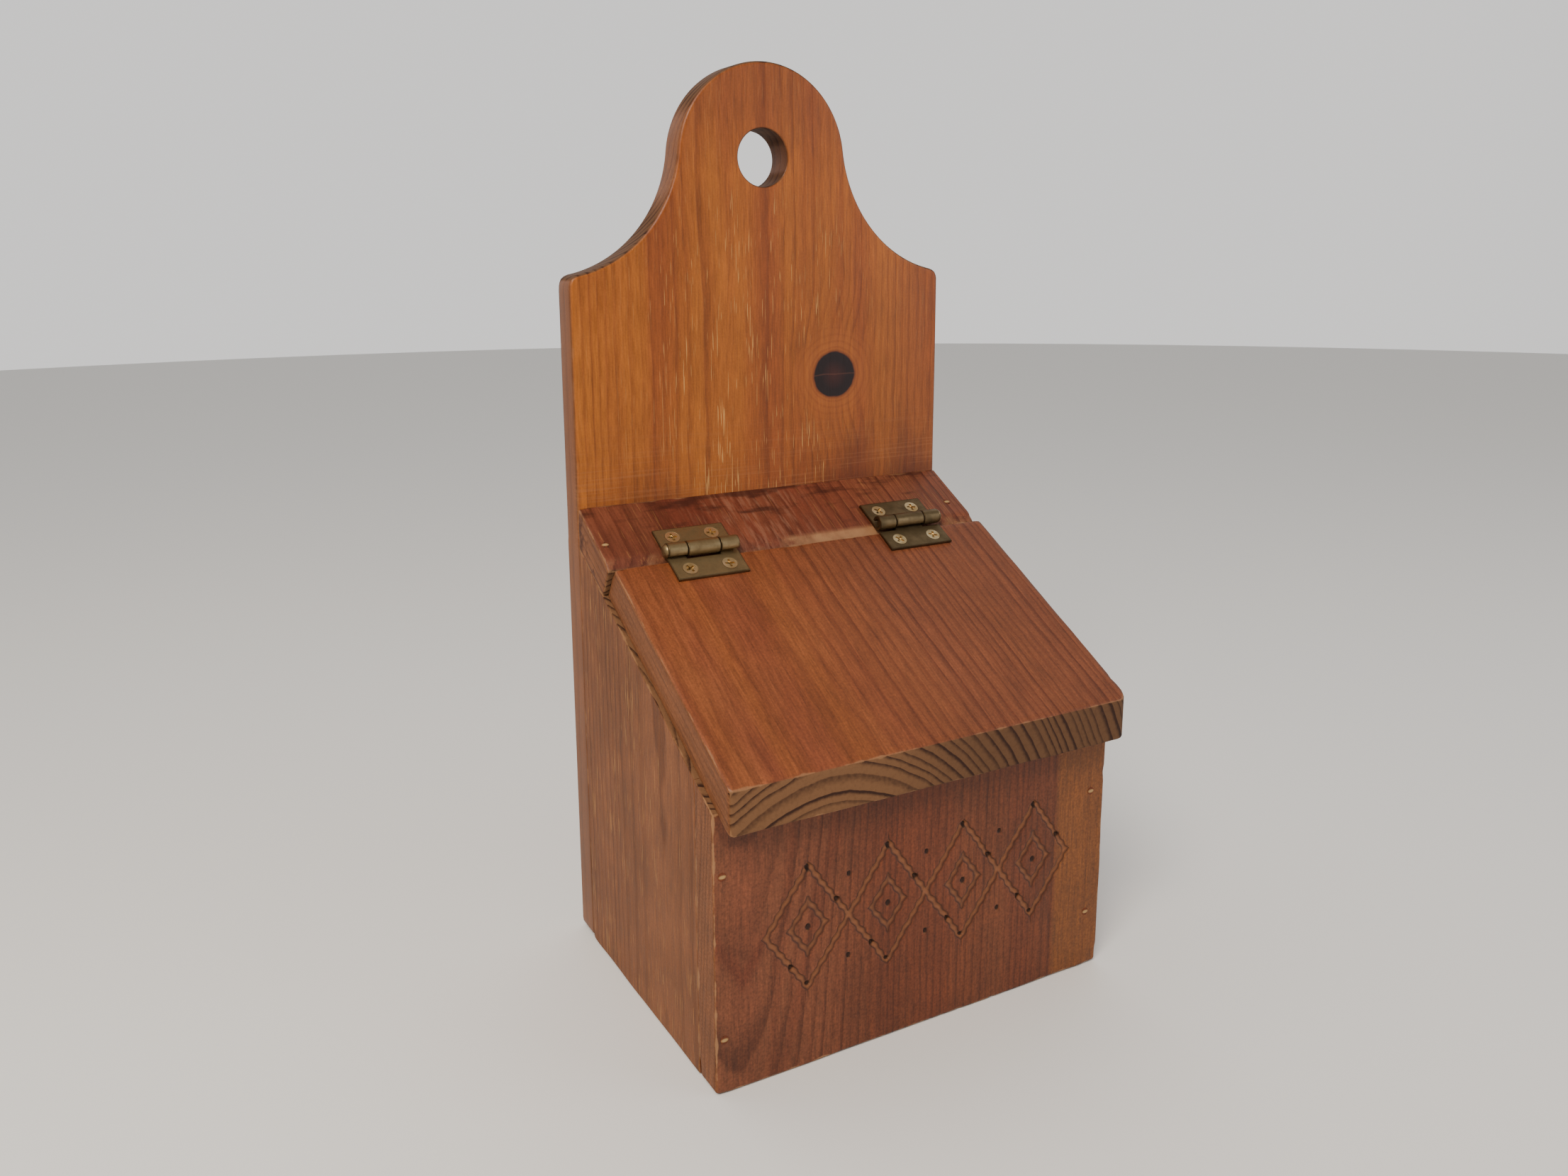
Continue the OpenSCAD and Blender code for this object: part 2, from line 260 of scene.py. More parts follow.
def sheet_form(thickness, loops, step):
    """A flat sheet with holes. Each loop is (points, rings, wear): the outline runs
    anticlockwise and the holes clockwise, rings are (inset, depth) from the front face to
    the back one, and wear scales a ring's inset. A loop whose rings start below the front
    face is a blind hole in the back. Returns points in the sheet's own x, y and depth."""
    points, faces, edge, count = [], [], [], 0
    caps = {0: [], 1: []}
    for loop, rings, wear in loops:
        normal = loop_normals(loop)
        n = len(loop)
        for k, (inset, depth) in enumerate(rings):
            ring = loop + normal * inset * wear[:, None]
            points.append(np.column_stack([ring, np.full(n, depth)]))
            edge.append(np.full(n, max(inset, min(depth, thickness - depth))))
            if k:
                for i in range(n):
                    j = (i + 1) % n
                    faces.append([count - n + i, count - n + j, count + j, count + i])
            blind = rings[0][1] > 0
            if k == 0 and not blind:
                caps[0].append((ring, count))
            if k == 0 and blind:
                faces.append(list(range(count, count + n)))
            if k == len(rings) - 1:
                caps[1].append((ring, count))
            count += n
    for face, depth in ((0, 0.0), (1, thickness)):
        rings = [ring for ring, _ in caps[face]]
        lo, hi = rings[0].min(0), rings[0].max(0)
        grid = np.stack(np.meshgrid(np.arange(lo[0] + step, hi[0], step),
                                    np.arange(lo[1] + step, hi[1], step)), -1).reshape(-1, 2)
        border = np.concatenate(rings)
        far = np.array([np.hypot(*(border - g).T).min() for g in grid]) > step * 0.45
        grid = grid[inside(grid, rings) & far]
        index = np.concatenate([np.arange(len(r)) + first for r, first in caps[face]]
                               + [np.arange(len(grid)) + count])
        spot = np.concatenate([border, grid])
        edges, start = [], 0
        for ring in rings:
            edges += [(start + i, start + (i + 1) % len(ring)) for i in range(len(ring))]
            start += len(ring)
        _, _, fill, origin, _, _ = geometry.delaunay_2d_cdt([Vector(s) for s in spot.tolist()],
                                                            edges, [], 0, 1e-6)
        fill = np.array([[origin[i][0] for i in f] for f in fill])
        fill = fill[inside(spot[fill].mean(1), rings)]
        faces += index[fill].tolist()
        points.append(np.column_stack([grid, np.full(len(grid), depth)]))
        edge.append(np.full(len(grid), 9.0))
        count += len(grid)
    return np.concatenate(points), faces, np.concatenate(edge)


def turned_form(profile, sides):
    """A form turned about Z from (radius, height) pairs, closed where the radius is zero."""
    a = np.linspace(0, 2 * math.pi, sides, endpoint=False)
    points = np.concatenate([np.column_stack([r * np.cos(a), r * np.sin(a), np.full(sides, h)])
                             for r, h in profile])
    faces = [[k * sides + i, k * sides + (i + 1) % sides, (k + 1) * sides + (i + 1) % sides,
              (k + 1) * sides + i] for k in range(len(profile) - 1) for i in range(sides)]
    return points, faces


def circle(x, y, radius, count, clockwise=False):
    a = np.linspace(0, 2 * math.pi, count, endpoint=False) * (-1 if clockwise else 1)
    return np.column_stack([x + radius * np.cos(a), y + radius * np.sin(a)])


# Nodes

# The setting that the word after the dot in a kind of node makes
MODES = {"Math": "operation", "VectorMath": "operation", "MapRange": "interpolation_type",
         "Mix": "data_type", "TexNoise": "noise_dimensions", "TexWhiteNoise": "noise_dimensions"}


def add(tree, kind, *feeds, out=0, **settings):
    """Adds a node and returns one of its outputs, or the node itself where out is None. A
    kind without Node in it is a shader node's, and its mode may follow after a dot. feeds
    go to the inputs in use, in their order, or from a dictionary by name: a socket is
    linked, and any other value is set."""
    kind, _, mode = kind.partition(".")
    node = tree.nodes.new(kind if "Node" in kind else "ShaderNode" + kind)
    if mode:
        settings[MODES[kind]] = mode
    for key, value in settings.items():
        setattr(node, key, value)
    named = feeds[-1] if feeds and isinstance(feeds[-1], dict) else {}
    pairs = [(node.inputs[key], value) for key, value in named.items()]
    pairs += zip([s for s in node.inputs if s.enabled], feeds[:len(feeds) - bool(named)])
    for socket, value in pairs:
        if isinstance(value, bpy.types.NodeSocket):
            tree.links.new(value, socket)
        else:
            socket.default_value = value
    if out is None:
        return node
    if isinstance(out, str):
        return node.outputs[out]
    return [s for s in node.outputs if s.enabled][out]


def stretched_noise(tree, place, stretch, detail, roughness=0.5, out=0):
    """Noise that is longer along one axis than along another. stretch is its fineness
    along each axis."""
    place = add(tree, "VectorMath.MULTIPLY", place, stretch)
    return add(tree, "TexNoise", place, 1, detail, roughness, out=out)


def close_to(tree, value, middle, reach, core, share=1.0):
    """share where a value is within core of middle, falling to nothing at reach from it."""
    away = add(tree, "Math.SUBTRACT", value, middle)
    away = add(tree, "Math.ABSOLUTE", away)
    return add(tree, "MapRange", away, reach, core, 0, share)


def lay_over(tree, colour, layers):
    """Lays each (mask, colour) over the colours before it."""
    for mask, over in layers:
        colour = add(tree, "Mix.RGBA", mask, colour, over)
    return colour


def new_material(name):
    """An empty material and its node tree."""
    material = bpy.data.materials.new(name)
    material.use_nodes = True
    material.node_tree.nodes.clear()
    return material, material.node_tree


def open_group(name, kind, inputs, outputs):
    """Starts a node group and returns its tree, its input node and its output node."""
    tree = bpy.data.node_groups.new(name, kind)
    for label, socket, default in inputs:
        item = tree.interface.new_socket(label, in_out="INPUT", socket_type=socket)
        if default is not None:
            item.default_value = default
    for label, socket in outputs:
        tree.interface.new_socket(label, in_out="OUTPUT", socket_type=socket)
    return tree, tree.nodes.new("NodeGroupInput"), tree.nodes.new("NodeGroupOutput")


FIGURE = ("Late wood", "Fibre", "Band", "Pore")


def softwood_figure():
    """The figure of sawn pine or fir, in millimetres, with the pith along Z: rings of pale
    early wood that darken slowly to a hard line of late wood, long fibres, and broad bands."""
    tree, given, result = open_group("Softwood figure", "ShaderNodeTree",
                                     [("Place", "NodeSocketVector", None),
                                      ("Ring width", "NodeSocketFloat", 2.4),
                                      ("Waviness", "NodeSocketFloat", 3.0),
                                      ("Knot push", "NodeSocketFloat", 0.0)],
                                     [(label, "NodeSocketFloat") for label in FIGURE])
    place, ring, waviness, push = given.outputs[:4]
    middle = (0.5, 0.5, 0.5)
    # Slow wander of the trunk, 60 mm across and 170 mm along the grain
    slow = stretched_noise(tree, place, (1 / 60, 1 / 60, 1 / 170), 1, out="Color")
    slow = add(tree, "VectorMath.SUBTRACT", slow, middle)
    slow = add(tree, "VectorMath.SCALE", slow, waviness)
    # Small ripples of each ring, 7 mm across and 22 mm along
    ripple = stretched_noise(tree, place, (1 / 7, 1 / 7, 1 / 22), 2, out="Color")
    ripple = add(tree, "VectorMath.SUBTRACT", ripple, middle)
    bent = add(tree, "VectorMath.MULTIPLY_ADD", ripple, (1.1, 1.1, 0), slow)
    bent = add(tree, "VectorMath.ADD", bent, place)
    flat = add(tree, "VectorMath.MULTIPLY", bent, (1, 1, 0))
    radius = add(tree, "VectorMath.LENGTH", flat)
    radius = add(tree, "Math.ADD", radius, push)
    # Years of fast and slow growth, some 17 mm apart, and the years counted outward
    years = add(tree, "Math.MULTIPLY", radius, 0.06)
    years = add(tree, "TexNoise.1D", years, 1, 1)
    count = add(tree, "Math.DIVIDE", radius, ring)
    count = add(tree, "Math.MULTIPLY_ADD", years, 3.2, count)
    part = add(tree, "Math.FRACT", count)
    whole = add(tree, "Math.FLOOR", count)
    # Each year's wood darkens slowly and stops sharply, and no two years are as dark
    darkens = add(tree, "MapRange.SMOOTHSTEP", part, 0.3, 0.92)
    darkens = add(tree, "Math.POWER", darkens, 1.8)
    stops = add(tree, "MapRange", part, 0.93, 1, 1, 0)
    year = add(tree, "TexWhiteNoise.1D", whole)
    year = add(tree, "MapRange", year, 0, 1, 0.45, 1)
    late = add(tree, "Math.MULTIPLY", darkens, stops)
    late = add(tree, "Math.MULTIPLY", late, year)
    # Fibres 0.7 mm apart, coarser than real ones so that they show
    fibre = stretched_noise(tree, bent, (1.4, 1.4, 0.09), 4, 0.7)
    band = stretched_noise(tree, bent, (1 / 18, 1 / 18, 1 / 260), 2)
    # Short open grain: streaks 0.4 mm wide and some 8 mm long, in places
    pore = stretched_noise(tree, place, (2.5, 2.5, 0.085), 1)
    dense = stretched_noise(tree, place, (1 / 9, 1 / 9, 1 / 45), 1)
    dense = add(tree, "Math.MULTIPLY_ADD", dense, 0.3, -0.15)
    pore = add(tree, "Math.ADD", pore, dense)
    for label, socket in zip(FIGURE, (late, fibre, band, pore)):
        tree.links.new(socket, result.inputs[label])
    return tree


def pine(name, look, tilt=0.0, pith=(0.0, 0.0), ring=2.4, waves=3.0):
    """Starts a stained pine material. look has its colours and strengths, tilt turns the
    grain from upright to the slope, and pith is where the tree's middle lies, in the
    turned frame. Returns a dictionary of the sockets that a board adds its own marks to."""
    material, tree = new_material(name)
    coordinate = add(tree, "TexCoord", out=None)
    metres, normal = coordinate.outputs["Object"], coordinate.outputs["Normal"]
    turned = add(tree, "Mapping", {"Vector": metres, "Scale": (1000, 1000, 1000),
                                   "Rotation": (tilt, 0, 0)})
    place = add(tree, "Mapping", {"Vector": turned, "Location": (-pith[0], -pith[1], 0)})
    # end is 1 on end grain, and flank is 1 on a board's sides
    end = add(tree, "VectorMath.DOT_PRODUCT", normal, (0, math.sin(tilt), math.cos(tilt)))
    end = add(tree, "Math.ABSOLUTE", end)
    end = add(tree, "MapRange.SMOOTHSTEP", end, 0.35, 0.62)
    flank = add(tree, "SeparateXYZ", normal)
    flank = add(tree, "Math.ABSOLUTE", flank)
    flank = add(tree, "MapRange.SMOOTHSTEP", flank, 0.5, 0.85)
    edge = add(tree, "Attribute", attribute_name="edge", out="Fac")
    return {"material": material, "tree": tree, "metres": metres, "place": place, "end": end,
            "flank": flank, "edge": edge, "look": look, "ring": ring, "waves": waves, "stains": [],
            "layers": [], "push": 0.0, "lines": 1.0, "open": 1.0}


def finish_pine(wood):
    """Puts the figure, the stain, the wear and a board's own marks together."""
    tree, look, metres = wood["tree"], wood["look"], wood["metres"]
    group = bpy.data.node_groups.get("Softwood figure") or softwood_figure()
    figure = add(tree, "Group", node_tree=group, out=None)
    for label, key in (("Place", "place"), ("Ring width", "ring"), ("Waviness", "waves"),
                       ("Knot push", "push")):
        if isinstance(wood[key], bpy.types.NodeSocket):
            tree.links.new(wood[key], figure.inputs[label])
        else:
            figure.inputs[label].default_value = wood[key]
    late, fibre, band, pore = (figure.outputs[label] for label in FIGURE)
    strong = add(tree, "Math.MULTIPLY", late, look["late"])
    strong = add(tree, "Math.MULTIPLY", strong, wood["lines"])
    # The stain took unevenly: a paler and a redder shade in broad bands along the grain
    shift = add(tree, "MapRange.SMOOTHSTEP", band, 0.34, 0.66)
    colour = add(tree, "Mix.RGBA", shift, look["early"], look["deep"])
    colour = lay_over(tree, colour, wood["stains"] + [(strong, look["late_line"])])
    # The planed sides of a board, across which the stain is browner and duller
    flank = add(tree, "Mix.RGBA", strong, look["flank"], look["flank_line"])
    colour = add(tree, "Mix.RGBA", wood["flank"], colour, flank)
    patch = add(tree, "TexNoise", metres, 30, 5, 0.6)
    speck = add(tree, "TexNoise", metres, 1500, 2)
    shades = [add(tree, "MapRange", given, 0.3, 0.7, 1 - look[key], 1 + look[key], clamp=False)
              for key, given in (("fibre", fibre), ("patch", patch), ("speck", speck))]
    shade = add(tree, "Math.MULTIPLY", shades[0], shades[1])
    shade = add(tree, "Math.MULTIPLY", shade, shades[2])
    colour = add(tree, "VectorMath.SCALE", colour, shade)
    streak = add(tree, "MapRange.SMOOTHSTEP", pore, 0.665, 0.715, 0, look["streak"])
    streak = add(tree, "Math.MULTIPLY", streak, wood["open"])
    # End grain drinks stain and looks dull, and rough fibres stand in it
    rough_end = add(tree, "TexNoise", metres, 900, 3)
    end_mix = add(tree, "Math.MULTIPLY_ADD", rough_end, 0.8, -0.4)
    end_mix = add(tree, "Math.MULTIPLY_ADD", late, 1.4, end_mix, use_clamp=True)
    end_colour = add(tree, "Mix.RGBA", end_mix, look["end"], look["end_dark"])
    # Handling wears the stain off the arrises, here and there
    worn = add(tree, "TexNoise", metres, 130, 4)
    worn = add(tree, "Math.MULTIPLY_ADD", worn, 4, look["wear_reach"] - 2)
    worn = add(tree, "Math.SUBTRACT", worn, wood["edge"])
    worn = add(tree, "MapRange", worn, 0, 0.4, 0, look["wear"])
    colour = lay_over(tree, colour, [(streak, look["raw_streak"]), (wood["end"], end_colour),
                                     (worn, look["raw"])] + wood["layers"])
    # Late wood and open grain lie lower than the fibres, and end grain is coarse
    relief = add(tree, "Math.MULTIPLY_ADD", late, -0.25, fibre)
    relief = add(tree, "Math.MULTIPLY_ADD", streak, -0.8, relief)
    coarse = add(tree, "Math.MULTIPLY", rough_end, wood["end"])
    relief = add(tree, "Math.MULTIPLY_ADD", coarse, 2.2, relief)
    bump = add(tree, "Bump", {"Height": relief, "Distance": 0.0001, "Strength": 0.6})
    gloss = add(tree, "MapRange", fibre, 0.3, 0.7, look["roughness"] - 0.08,
                look["roughness"] + 0.08)
    gloss = add(tree, "Mix", wood["end"], gloss, 0.85)
    sheen = add(tree, "Mix", wood["flank"], look["sheen"], look["sheen"] * 0.35)
    shader = add(tree, "BsdfPrincipled", {"Base Color": colour, "Roughness": gloss, "Normal": bump,
                                          "IOR": 1.5, "Specular IOR Level": sheen,
                                          "Coat Weight": look["coat"], "Coat Roughness": 0.3})
    add(tree, "OutputMaterial", shader, out=None)
    return wood["material"]


def metal(name, bright, dull, dark, gloss, grime, rim=0.0):
    """Old metal: its bare colour, patches of dull tarnish, dirt in pits and, as far as rim says,
    a darker rim along its edges, partly dirt and partly painted shade."""
    material, tree = new_material(name)
    metres = add(tree, "TexCoord", out="Object")
    patch = add(tree, "TexNoise", metres, 240, 3, 0.5)
    dulled = add(tree, "MapRange", patch, 0.3, 0.7)
    pits = add(tree, "TexNoise", metres, 1500, 3)
    dirt_and_shade = add(tree, "MapRange", pits, 0.58, 0.85, 0, grime)
    # Near the edges the colour darkens, partly as dirt and partly as painted shade at the seams
    # and outlines
    edge = add(tree, "Attribute", attribute_name="edge", out="Fac")
    edge = add(tree, "MapRange", edge, 0.5, 0.1, 0, rim)
    dirt_and_shade = add(tree, "Math.MAXIMUM", dirt_and_shade, edge)
    colour = lay_over(tree, bright, [(dulled, dull), (dirt_and_shade, dark)])
    rough = add(tree, "MapRange", patch, 0.3, 0.7, gloss - 0.1, gloss + 0.14)
    bump = add(tree, "Bump", {"Height": pits, "Distance": 0.00002, "Strength": 0.4})
    shader = add(tree, "BsdfPrincipled", {"Base Color": colour, "Roughness": rough, "Normal": bump,
                                          "Metallic": 1.0})
    add(tree, "OutputMaterial", shader, out=None)
    return material


def settle(piece, body, nodes, material):
    """Gives a finished piece its material and its body, and hides the nodes that it stands for."""
    if not piece.data.polygons:
        raise RuntimeError(f"{piece.name} has no faces")
    piece.data.materials.clear()
    piece.data.materials.append(material)
    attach(piece, body)
    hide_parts(*nodes)


# Geometry Nodes for the fasteners

def fastener_tree(name, labels, radius_steps, sides):
    """Starts a tree that stands a turned fastener on each point, head up +Z before it is
    leaned over about X. radius_steps(tree, given, depth) gives its radius at a depth."""
    inputs = [("Geometry", "NodeSocketGeometry", None)]
    inputs += [(label, "NodeSocketFloat", value) for label, value in labels]
    inputs += [("Lean", "NodeSocketFloat", 0.0), ("Seed", "NodeSocketInt", 1),
               ("Material", "NodeSocketMaterial", None)]
    tree, given, result = open_group(name, "GeometryNodeTree", inputs,
                                     [("Geometry", "NodeSocketGeometry")])
    length = given.outputs["Length"]
    foot = add(tree, "Math.MULTIPLY", length, -1.0)
    foot = add(tree, "CombineXYZ", {"Z": foot})
    line = add(tree, "GeometryNodeCurvePrimitiveLine", {"End": foot})
    line = add(tree, "GeometryNodeResampleCurve", {"Curve": line, "Count": 56})
    along = add(tree, "GeometryNodeSplineParameter", out="Length")
    radius = radius_steps(tree, given, along)
    ring = add(tree, "GeometryNodeCurvePrimitiveCircle", {"Resolution": sides, "Radius": 1.0})
    body = add(tree, "GeometryNodeCurveToMesh",
               {"Curve": line, "Profile Curve": ring, "Scale": radius, "Fill Caps": True})
    return tree, given, result, body


def stand_fasteners(tree, given, result, body):
    """Ends a fastener tree: an instance on each point, leaned and spun, made real."""
    lean = add(tree, "CombineXYZ", {"X": given.outputs["Lean"]})
    copies = add(tree, "GeometryNodeInstanceOnPoints",
                 {"Points": given.outputs["Geometry"], "Instance": body, "Rotation": lean})
    spin = add(tree, "FunctionNodeRandomValue", {3: 3.1, "Seed": given.outputs["Seed"]})
    spin = add(tree, "CombineXYZ", {"Z": spin})
    copies = add(tree, "GeometryNodeRotateInstances", {"Instances": copies, "Rotation": spin})
    real = add(tree, "GeometryNodeRealizeInstances", {"Geometry": copies})
    real = add(tree, "GeometryNodeSetMaterial",
               {"Geometry": real, "Material": given.outputs["Material"]})
    tree.links.new(real, result.inputs[0])
    return tree


def screw_tree():
    """A countersunk wood screw with a cross recess and a thread."""
    def radius_steps(tree, given, depth):
        cone = add(tree, "Math.SUBTRACT", given.outputs["Head radius"], depth)
        turn = add(tree, "Math.PINGPONG", depth, 0.00045)
        turn = add(tree, "Math.MULTIPLY_ADD", turn, -0.8, given.outputs["Shank radius"])
        threaded = add(tree, "Math.GREATER_THAN", depth, 0.0035)
        shank = add(tree, "Mix", threaded, given.outputs["Shank radius"], turn)
        radius = add(tree, "Math.MAXIMUM", cone, shank)
        left = add(tree, "Math.SUBTRACT", given.outputs["Length"], depth)
        point = add(tree, "Math.MULTIPLY_ADD", left, 0.5, 0.00005)
        return add(tree, "Math.MINIMUM", radius, point)

    tree, given, result, body = fastener_tree("Wood screw",
                                              [("Length", 0.0094), ("Head radius", 0.0025),
                                               ("Shank radius", 0.0013), ("Recess width", 0.0008),
                                               ("Recess length", 0.0033)], radius_steps, 28)
    width, length = given.outputs["Recess width"], given.outputs["Recess length"]
    for size in ((width, length), (length, width)):
        size = add(tree, "CombineXYZ", {"X": size[0], "Y": size[1], "Z": 0.0015})
        arm = add(tree, "GeometryNodeMeshCube", {"Size": size})
        body = add(tree, "GeometryNodeMeshBoolean", {"Mesh 1": body, "Mesh 2": arm},
                   operation="DIFFERENCE")
    return stand_fasteners(tree, given, result, body)


def nail_tree():
    """A round wire nail with a flat head."""
    def radius_steps(tree, given, depth):
        head = add(tree, "Math.LESS_THAN", depth, 0.0008)
        radius = add(tree, "Mix", head, given.outputs["Wire radius"], given.outputs["Head radius"])
        left = add(tree, "Math.SUBTRACT", given.outputs["Length"], depth)
        point = add(tree, "Math.MULTIPLY_ADD", left, 0.4, 0.00005)
        return add(tree, "Math.MINIMUM", radius, point)

    tree, given, result, body = fastener_tree("Wire nail",
                                              [("Length", 0.025), ("Head radius", 0.0013),
                                               ("Wire radius", 0.0008)], radius_steps, 16)
    return stand_fasteners(tree, given, result, body)


def fasteners(name, points, build, settings, lean, seed, material):
    """Stands a tree's fasteners on points in millimetres and returns them as one mesh."""
    base = bpy.data.meshes.new(name + "_places")
    base.from_pydata((np.asarray(points) * 0.001).tolist(), [], [])
    maker = bpy.data.objects.new(name + "_places", base)
    bpy.context.collection.objects.link(maker)
    tree = bpy.data.node_groups.get({screw_tree: "Wood screw",
                                     nail_tree: "Wire nail"}[build]) or build()
    modifier = maker.modifiers.new("Fasteners", "NODES")
    modifier.node_group = tree
    wanted = dict(settings, Lean=lean, Seed=seed, Material=material)
    for item in tree.interface.items_tree:
        if item.in_out == "INPUT" and item.name in wanted:
            modifier[item.identifier] = wanted[item.name]
    evaluated = maker.evaluated_get(bpy.context.evaluated_depsgraph_get())
    mesh = bpy.data.meshes.new_from_object(evaluated)
    mesh.name = name
    mesh.shade_smooth()
    mesh.set_sharp_from_angle(angle=math.radians(35))
    piece = bpy.data.objects.new(name, mesh)
    bpy.context.collection.objects.link(piece)
    maker.modifiers.clear()
    bpy.data.objects.remove(maker)
    return piece


# Sizes and colours that a user would change

def length(name, description, default):
    return FloatProperty(name=name, description=description, default=default, min=0.0,
                         subtype="DISTANCE", unit="LENGTH", precision=5)


def colour(name, description, hex_code):
    return FloatVectorProperty(name=name, description=description, default=linear(hex_code),
                               subtype="COLOR", size=4, min=0.0, max=1.0)


class SaltBoxSizes(bpy.types.PropertyGroup):
    arris: length("Arris", "Rounding of the arrises that are planed and not worn", 0.0003)
    worn_arris: length("Worn arris", "Rounding of the arrises that hands have worn", 0.0011)
    shoulder: length("Shoulder", "Rounding of the back board's shoulder corners", 0.002)
    lid_corner: length("Lid corner", "Rounding of the lid's left front corner seen from above",
                       0.0013)
    lid_worn_corner: length("Worn lid corner",
                            "Rounding of its right front corner seen from above", 0.0038)
    ease_width: length("Rail ease width", "Width of the worn front arris of the rail", 0.0046)
    ease_height: length("Rail ease height", "Depth of the worn front arris of the rail", 0.0016)
    lozenges: IntProperty(name="Lozenges", description="Carved lozenges in the chain on the front",
                          default=4, min=1, max=8)
    lozenge_width: length("Lozenge width", "Width of one carved lozenge", 0.028)
    lozenge_height: length("Lozenge height", "Height of one carved lozenge", 0.0385)
    groove_width: length("Groove width", "Width of the gouged groove", 0.0025)
    groove_depth: length("Groove depth", "Depth of the gouged groove", 0.0008)
    punch_radius: length("Punch radius", "Radius of the punched dots", 0.0009)
    leaf_width: length("Leaf width", "From the pin's middle to the edge of a hinge leaf", 0.0118)
    leaf_thickness: length("Leaf thickness", "Thickness of the hinge sheet", 0.0011)
    pin_diameter: length("Pin diameter", "Diameter of a hinge pin", 0.0028)
    middle_knuckle: length("Middle knuckle", "Length of a hinge's middle knuckle", 0.0118)
    knuckle_gap: length("Knuckle gap", "Play between two knuckles", 0.0003)
    screw_head: length("Screw head", "Diameter of a screw head", 0.005)
    screw_shank: length("Screw shank", "Diameter of a screw shank", 0.0026)
    screw_length: length("Screw length", "Length of a screw", 0.0094)
    screw_pitch: length("Screw pitch", "Distance between the two screws of a leaf", 0.0142)
    screw_row: length("Screw row", "Distance from the pin's middle to the screws", 0.0076)
    nail_length: length("Nail length", "Length of a nail", 0.025)
    nail_head: length("Nail head", "Diameter of a nail head", 0.0026)
    nail_sink: length("Nail sink", "How deep the nail heads are punched in", 0.001)


class SaltBoxColours(bpy.types.PropertyGroup):
    back_early: colour("Back, early wood", "Orange varnish over the pale wood", "#9c581a")
    back_deep: colour("Back, redder bands", "Where the back's varnish is redder", "#88461a")
    back_late: colour("Back, late wood", "Hard dark lines of the back board", "#5e2a10")
    front_early: colour("Front, early wood", "Stained pale wood of the front board", "#6c3b22")
    front_deep: colour("Front, redder bands", "Where the front's stain is redder", "#66331d")
    front_late: colour("Front, late wood", "Dark lines of the front board", "#431f11")
    side_early: colour("Sides, early wood", "Stained pale wood of the side boards", "#764a2f")
    side_deep: colour("Sides, redder bands", "Where the sides' stain is redder", "#6a3f27")
    side_late: colour("Sides, late wood", "Dark lines of the side boards", "#4c2a18")
    rail_early: colour("Rail, early wood", "Stained pale wood of the rail", "#713e29")
    rail_deep: colour("Rail, redder bands", "Where the rail's stain is redder", "#66301f")
    rail_late: colour("Rail, late wood", "Dark lines of the rail", "#481e12")
    lid_early: colour("Lid, early wood", "Stained pale wood of the lid", "#7d4421")
    lid_deep: colour("Lid, redder bands", "Where the lid's stain is redder", "#783e24")
    lid_late: colour("Lid, late wood", "Dark lines of the lid", "#4c2112")
    streak: colour("Open grain", "Raw wood that shows in the open grain", "#d09a58")
    raw: colour("Raw wood", "Wood where the stain is worn off", "#a07550")
    end: colour("End grain", "Rough brown end grain", "#735034")
    end_dark: colour("End grain, rings", "Dark year rings in the end grain", "#321a0e")
    knot: colour("Knot", "Dark heart of the knot", "#1c0c0a")
    brass: colour("Brass", "Bare worn brass of the hinges", "#a38d66")
    brass_dull: colour("Tarnish", "Brown tarnish on the hinges", "#7f6b4c")
    brass_dark: colour("Dark tarnish", "Deeper tarnish, on the right hinge", "#62543d")
    # grime also darkens the hinge leaves' edges, partly as painted shade
    grime: colour("Grime", "Dirt in pits and corners", "#38291c")
    screw: colour("Screws", "Brighter brass of the screw heads", "#f2dcae")
    screw_dull: colour("Screws, dull", "Tarnish on the screw heads", "#b89a66")
    steel: colour("Nail steel", "Plain wire nails", "#9a9894")
    filler: colour("Wood filler", "Light filler over the nail heads", "#ac8a5a")
    floor: colour("Floor", "Plain pale floor", "#f0eeea")


def sizes():
    """The sizes that a user can change, with the lengths in millimetres."""
    group = bpy.context.scene.salt_box_sizes
    values = {key: getattr(group, key) for key in group.__annotations__}
    return SimpleNamespace(**{key: value * 1000 if isinstance(value, float) else value
                              for key, value in values.items()})


def colours():
    return bpy.context.scene.salt_box_colours


def pine_look(board, **changes):
    """The usual look of this box's stained pine, with a board's own colours and changes."""
    c = colours()
    look = {"early": getattr(c, board + "_early"), "deep": getattr(c, board + "_deep"),
            "late_line": getattr(c, board + "_late"), "flank": c.side_early,
            "flank_line": c.side_late, "raw": c.raw, "end": c.end, "end_dark": c.end_dark,
            "raw_streak": c.streak, "late": 0.8, "fibre": 0.24, "patch": 0.13, "speck": 0.1,
            "streak": 0.0, "wear": 0.5, "wear_reach": 0.3, "roughness": 0.52, "sheen": 0.3,
            "coat": 0.0}
    look.update(changes)
    return look


# The boards

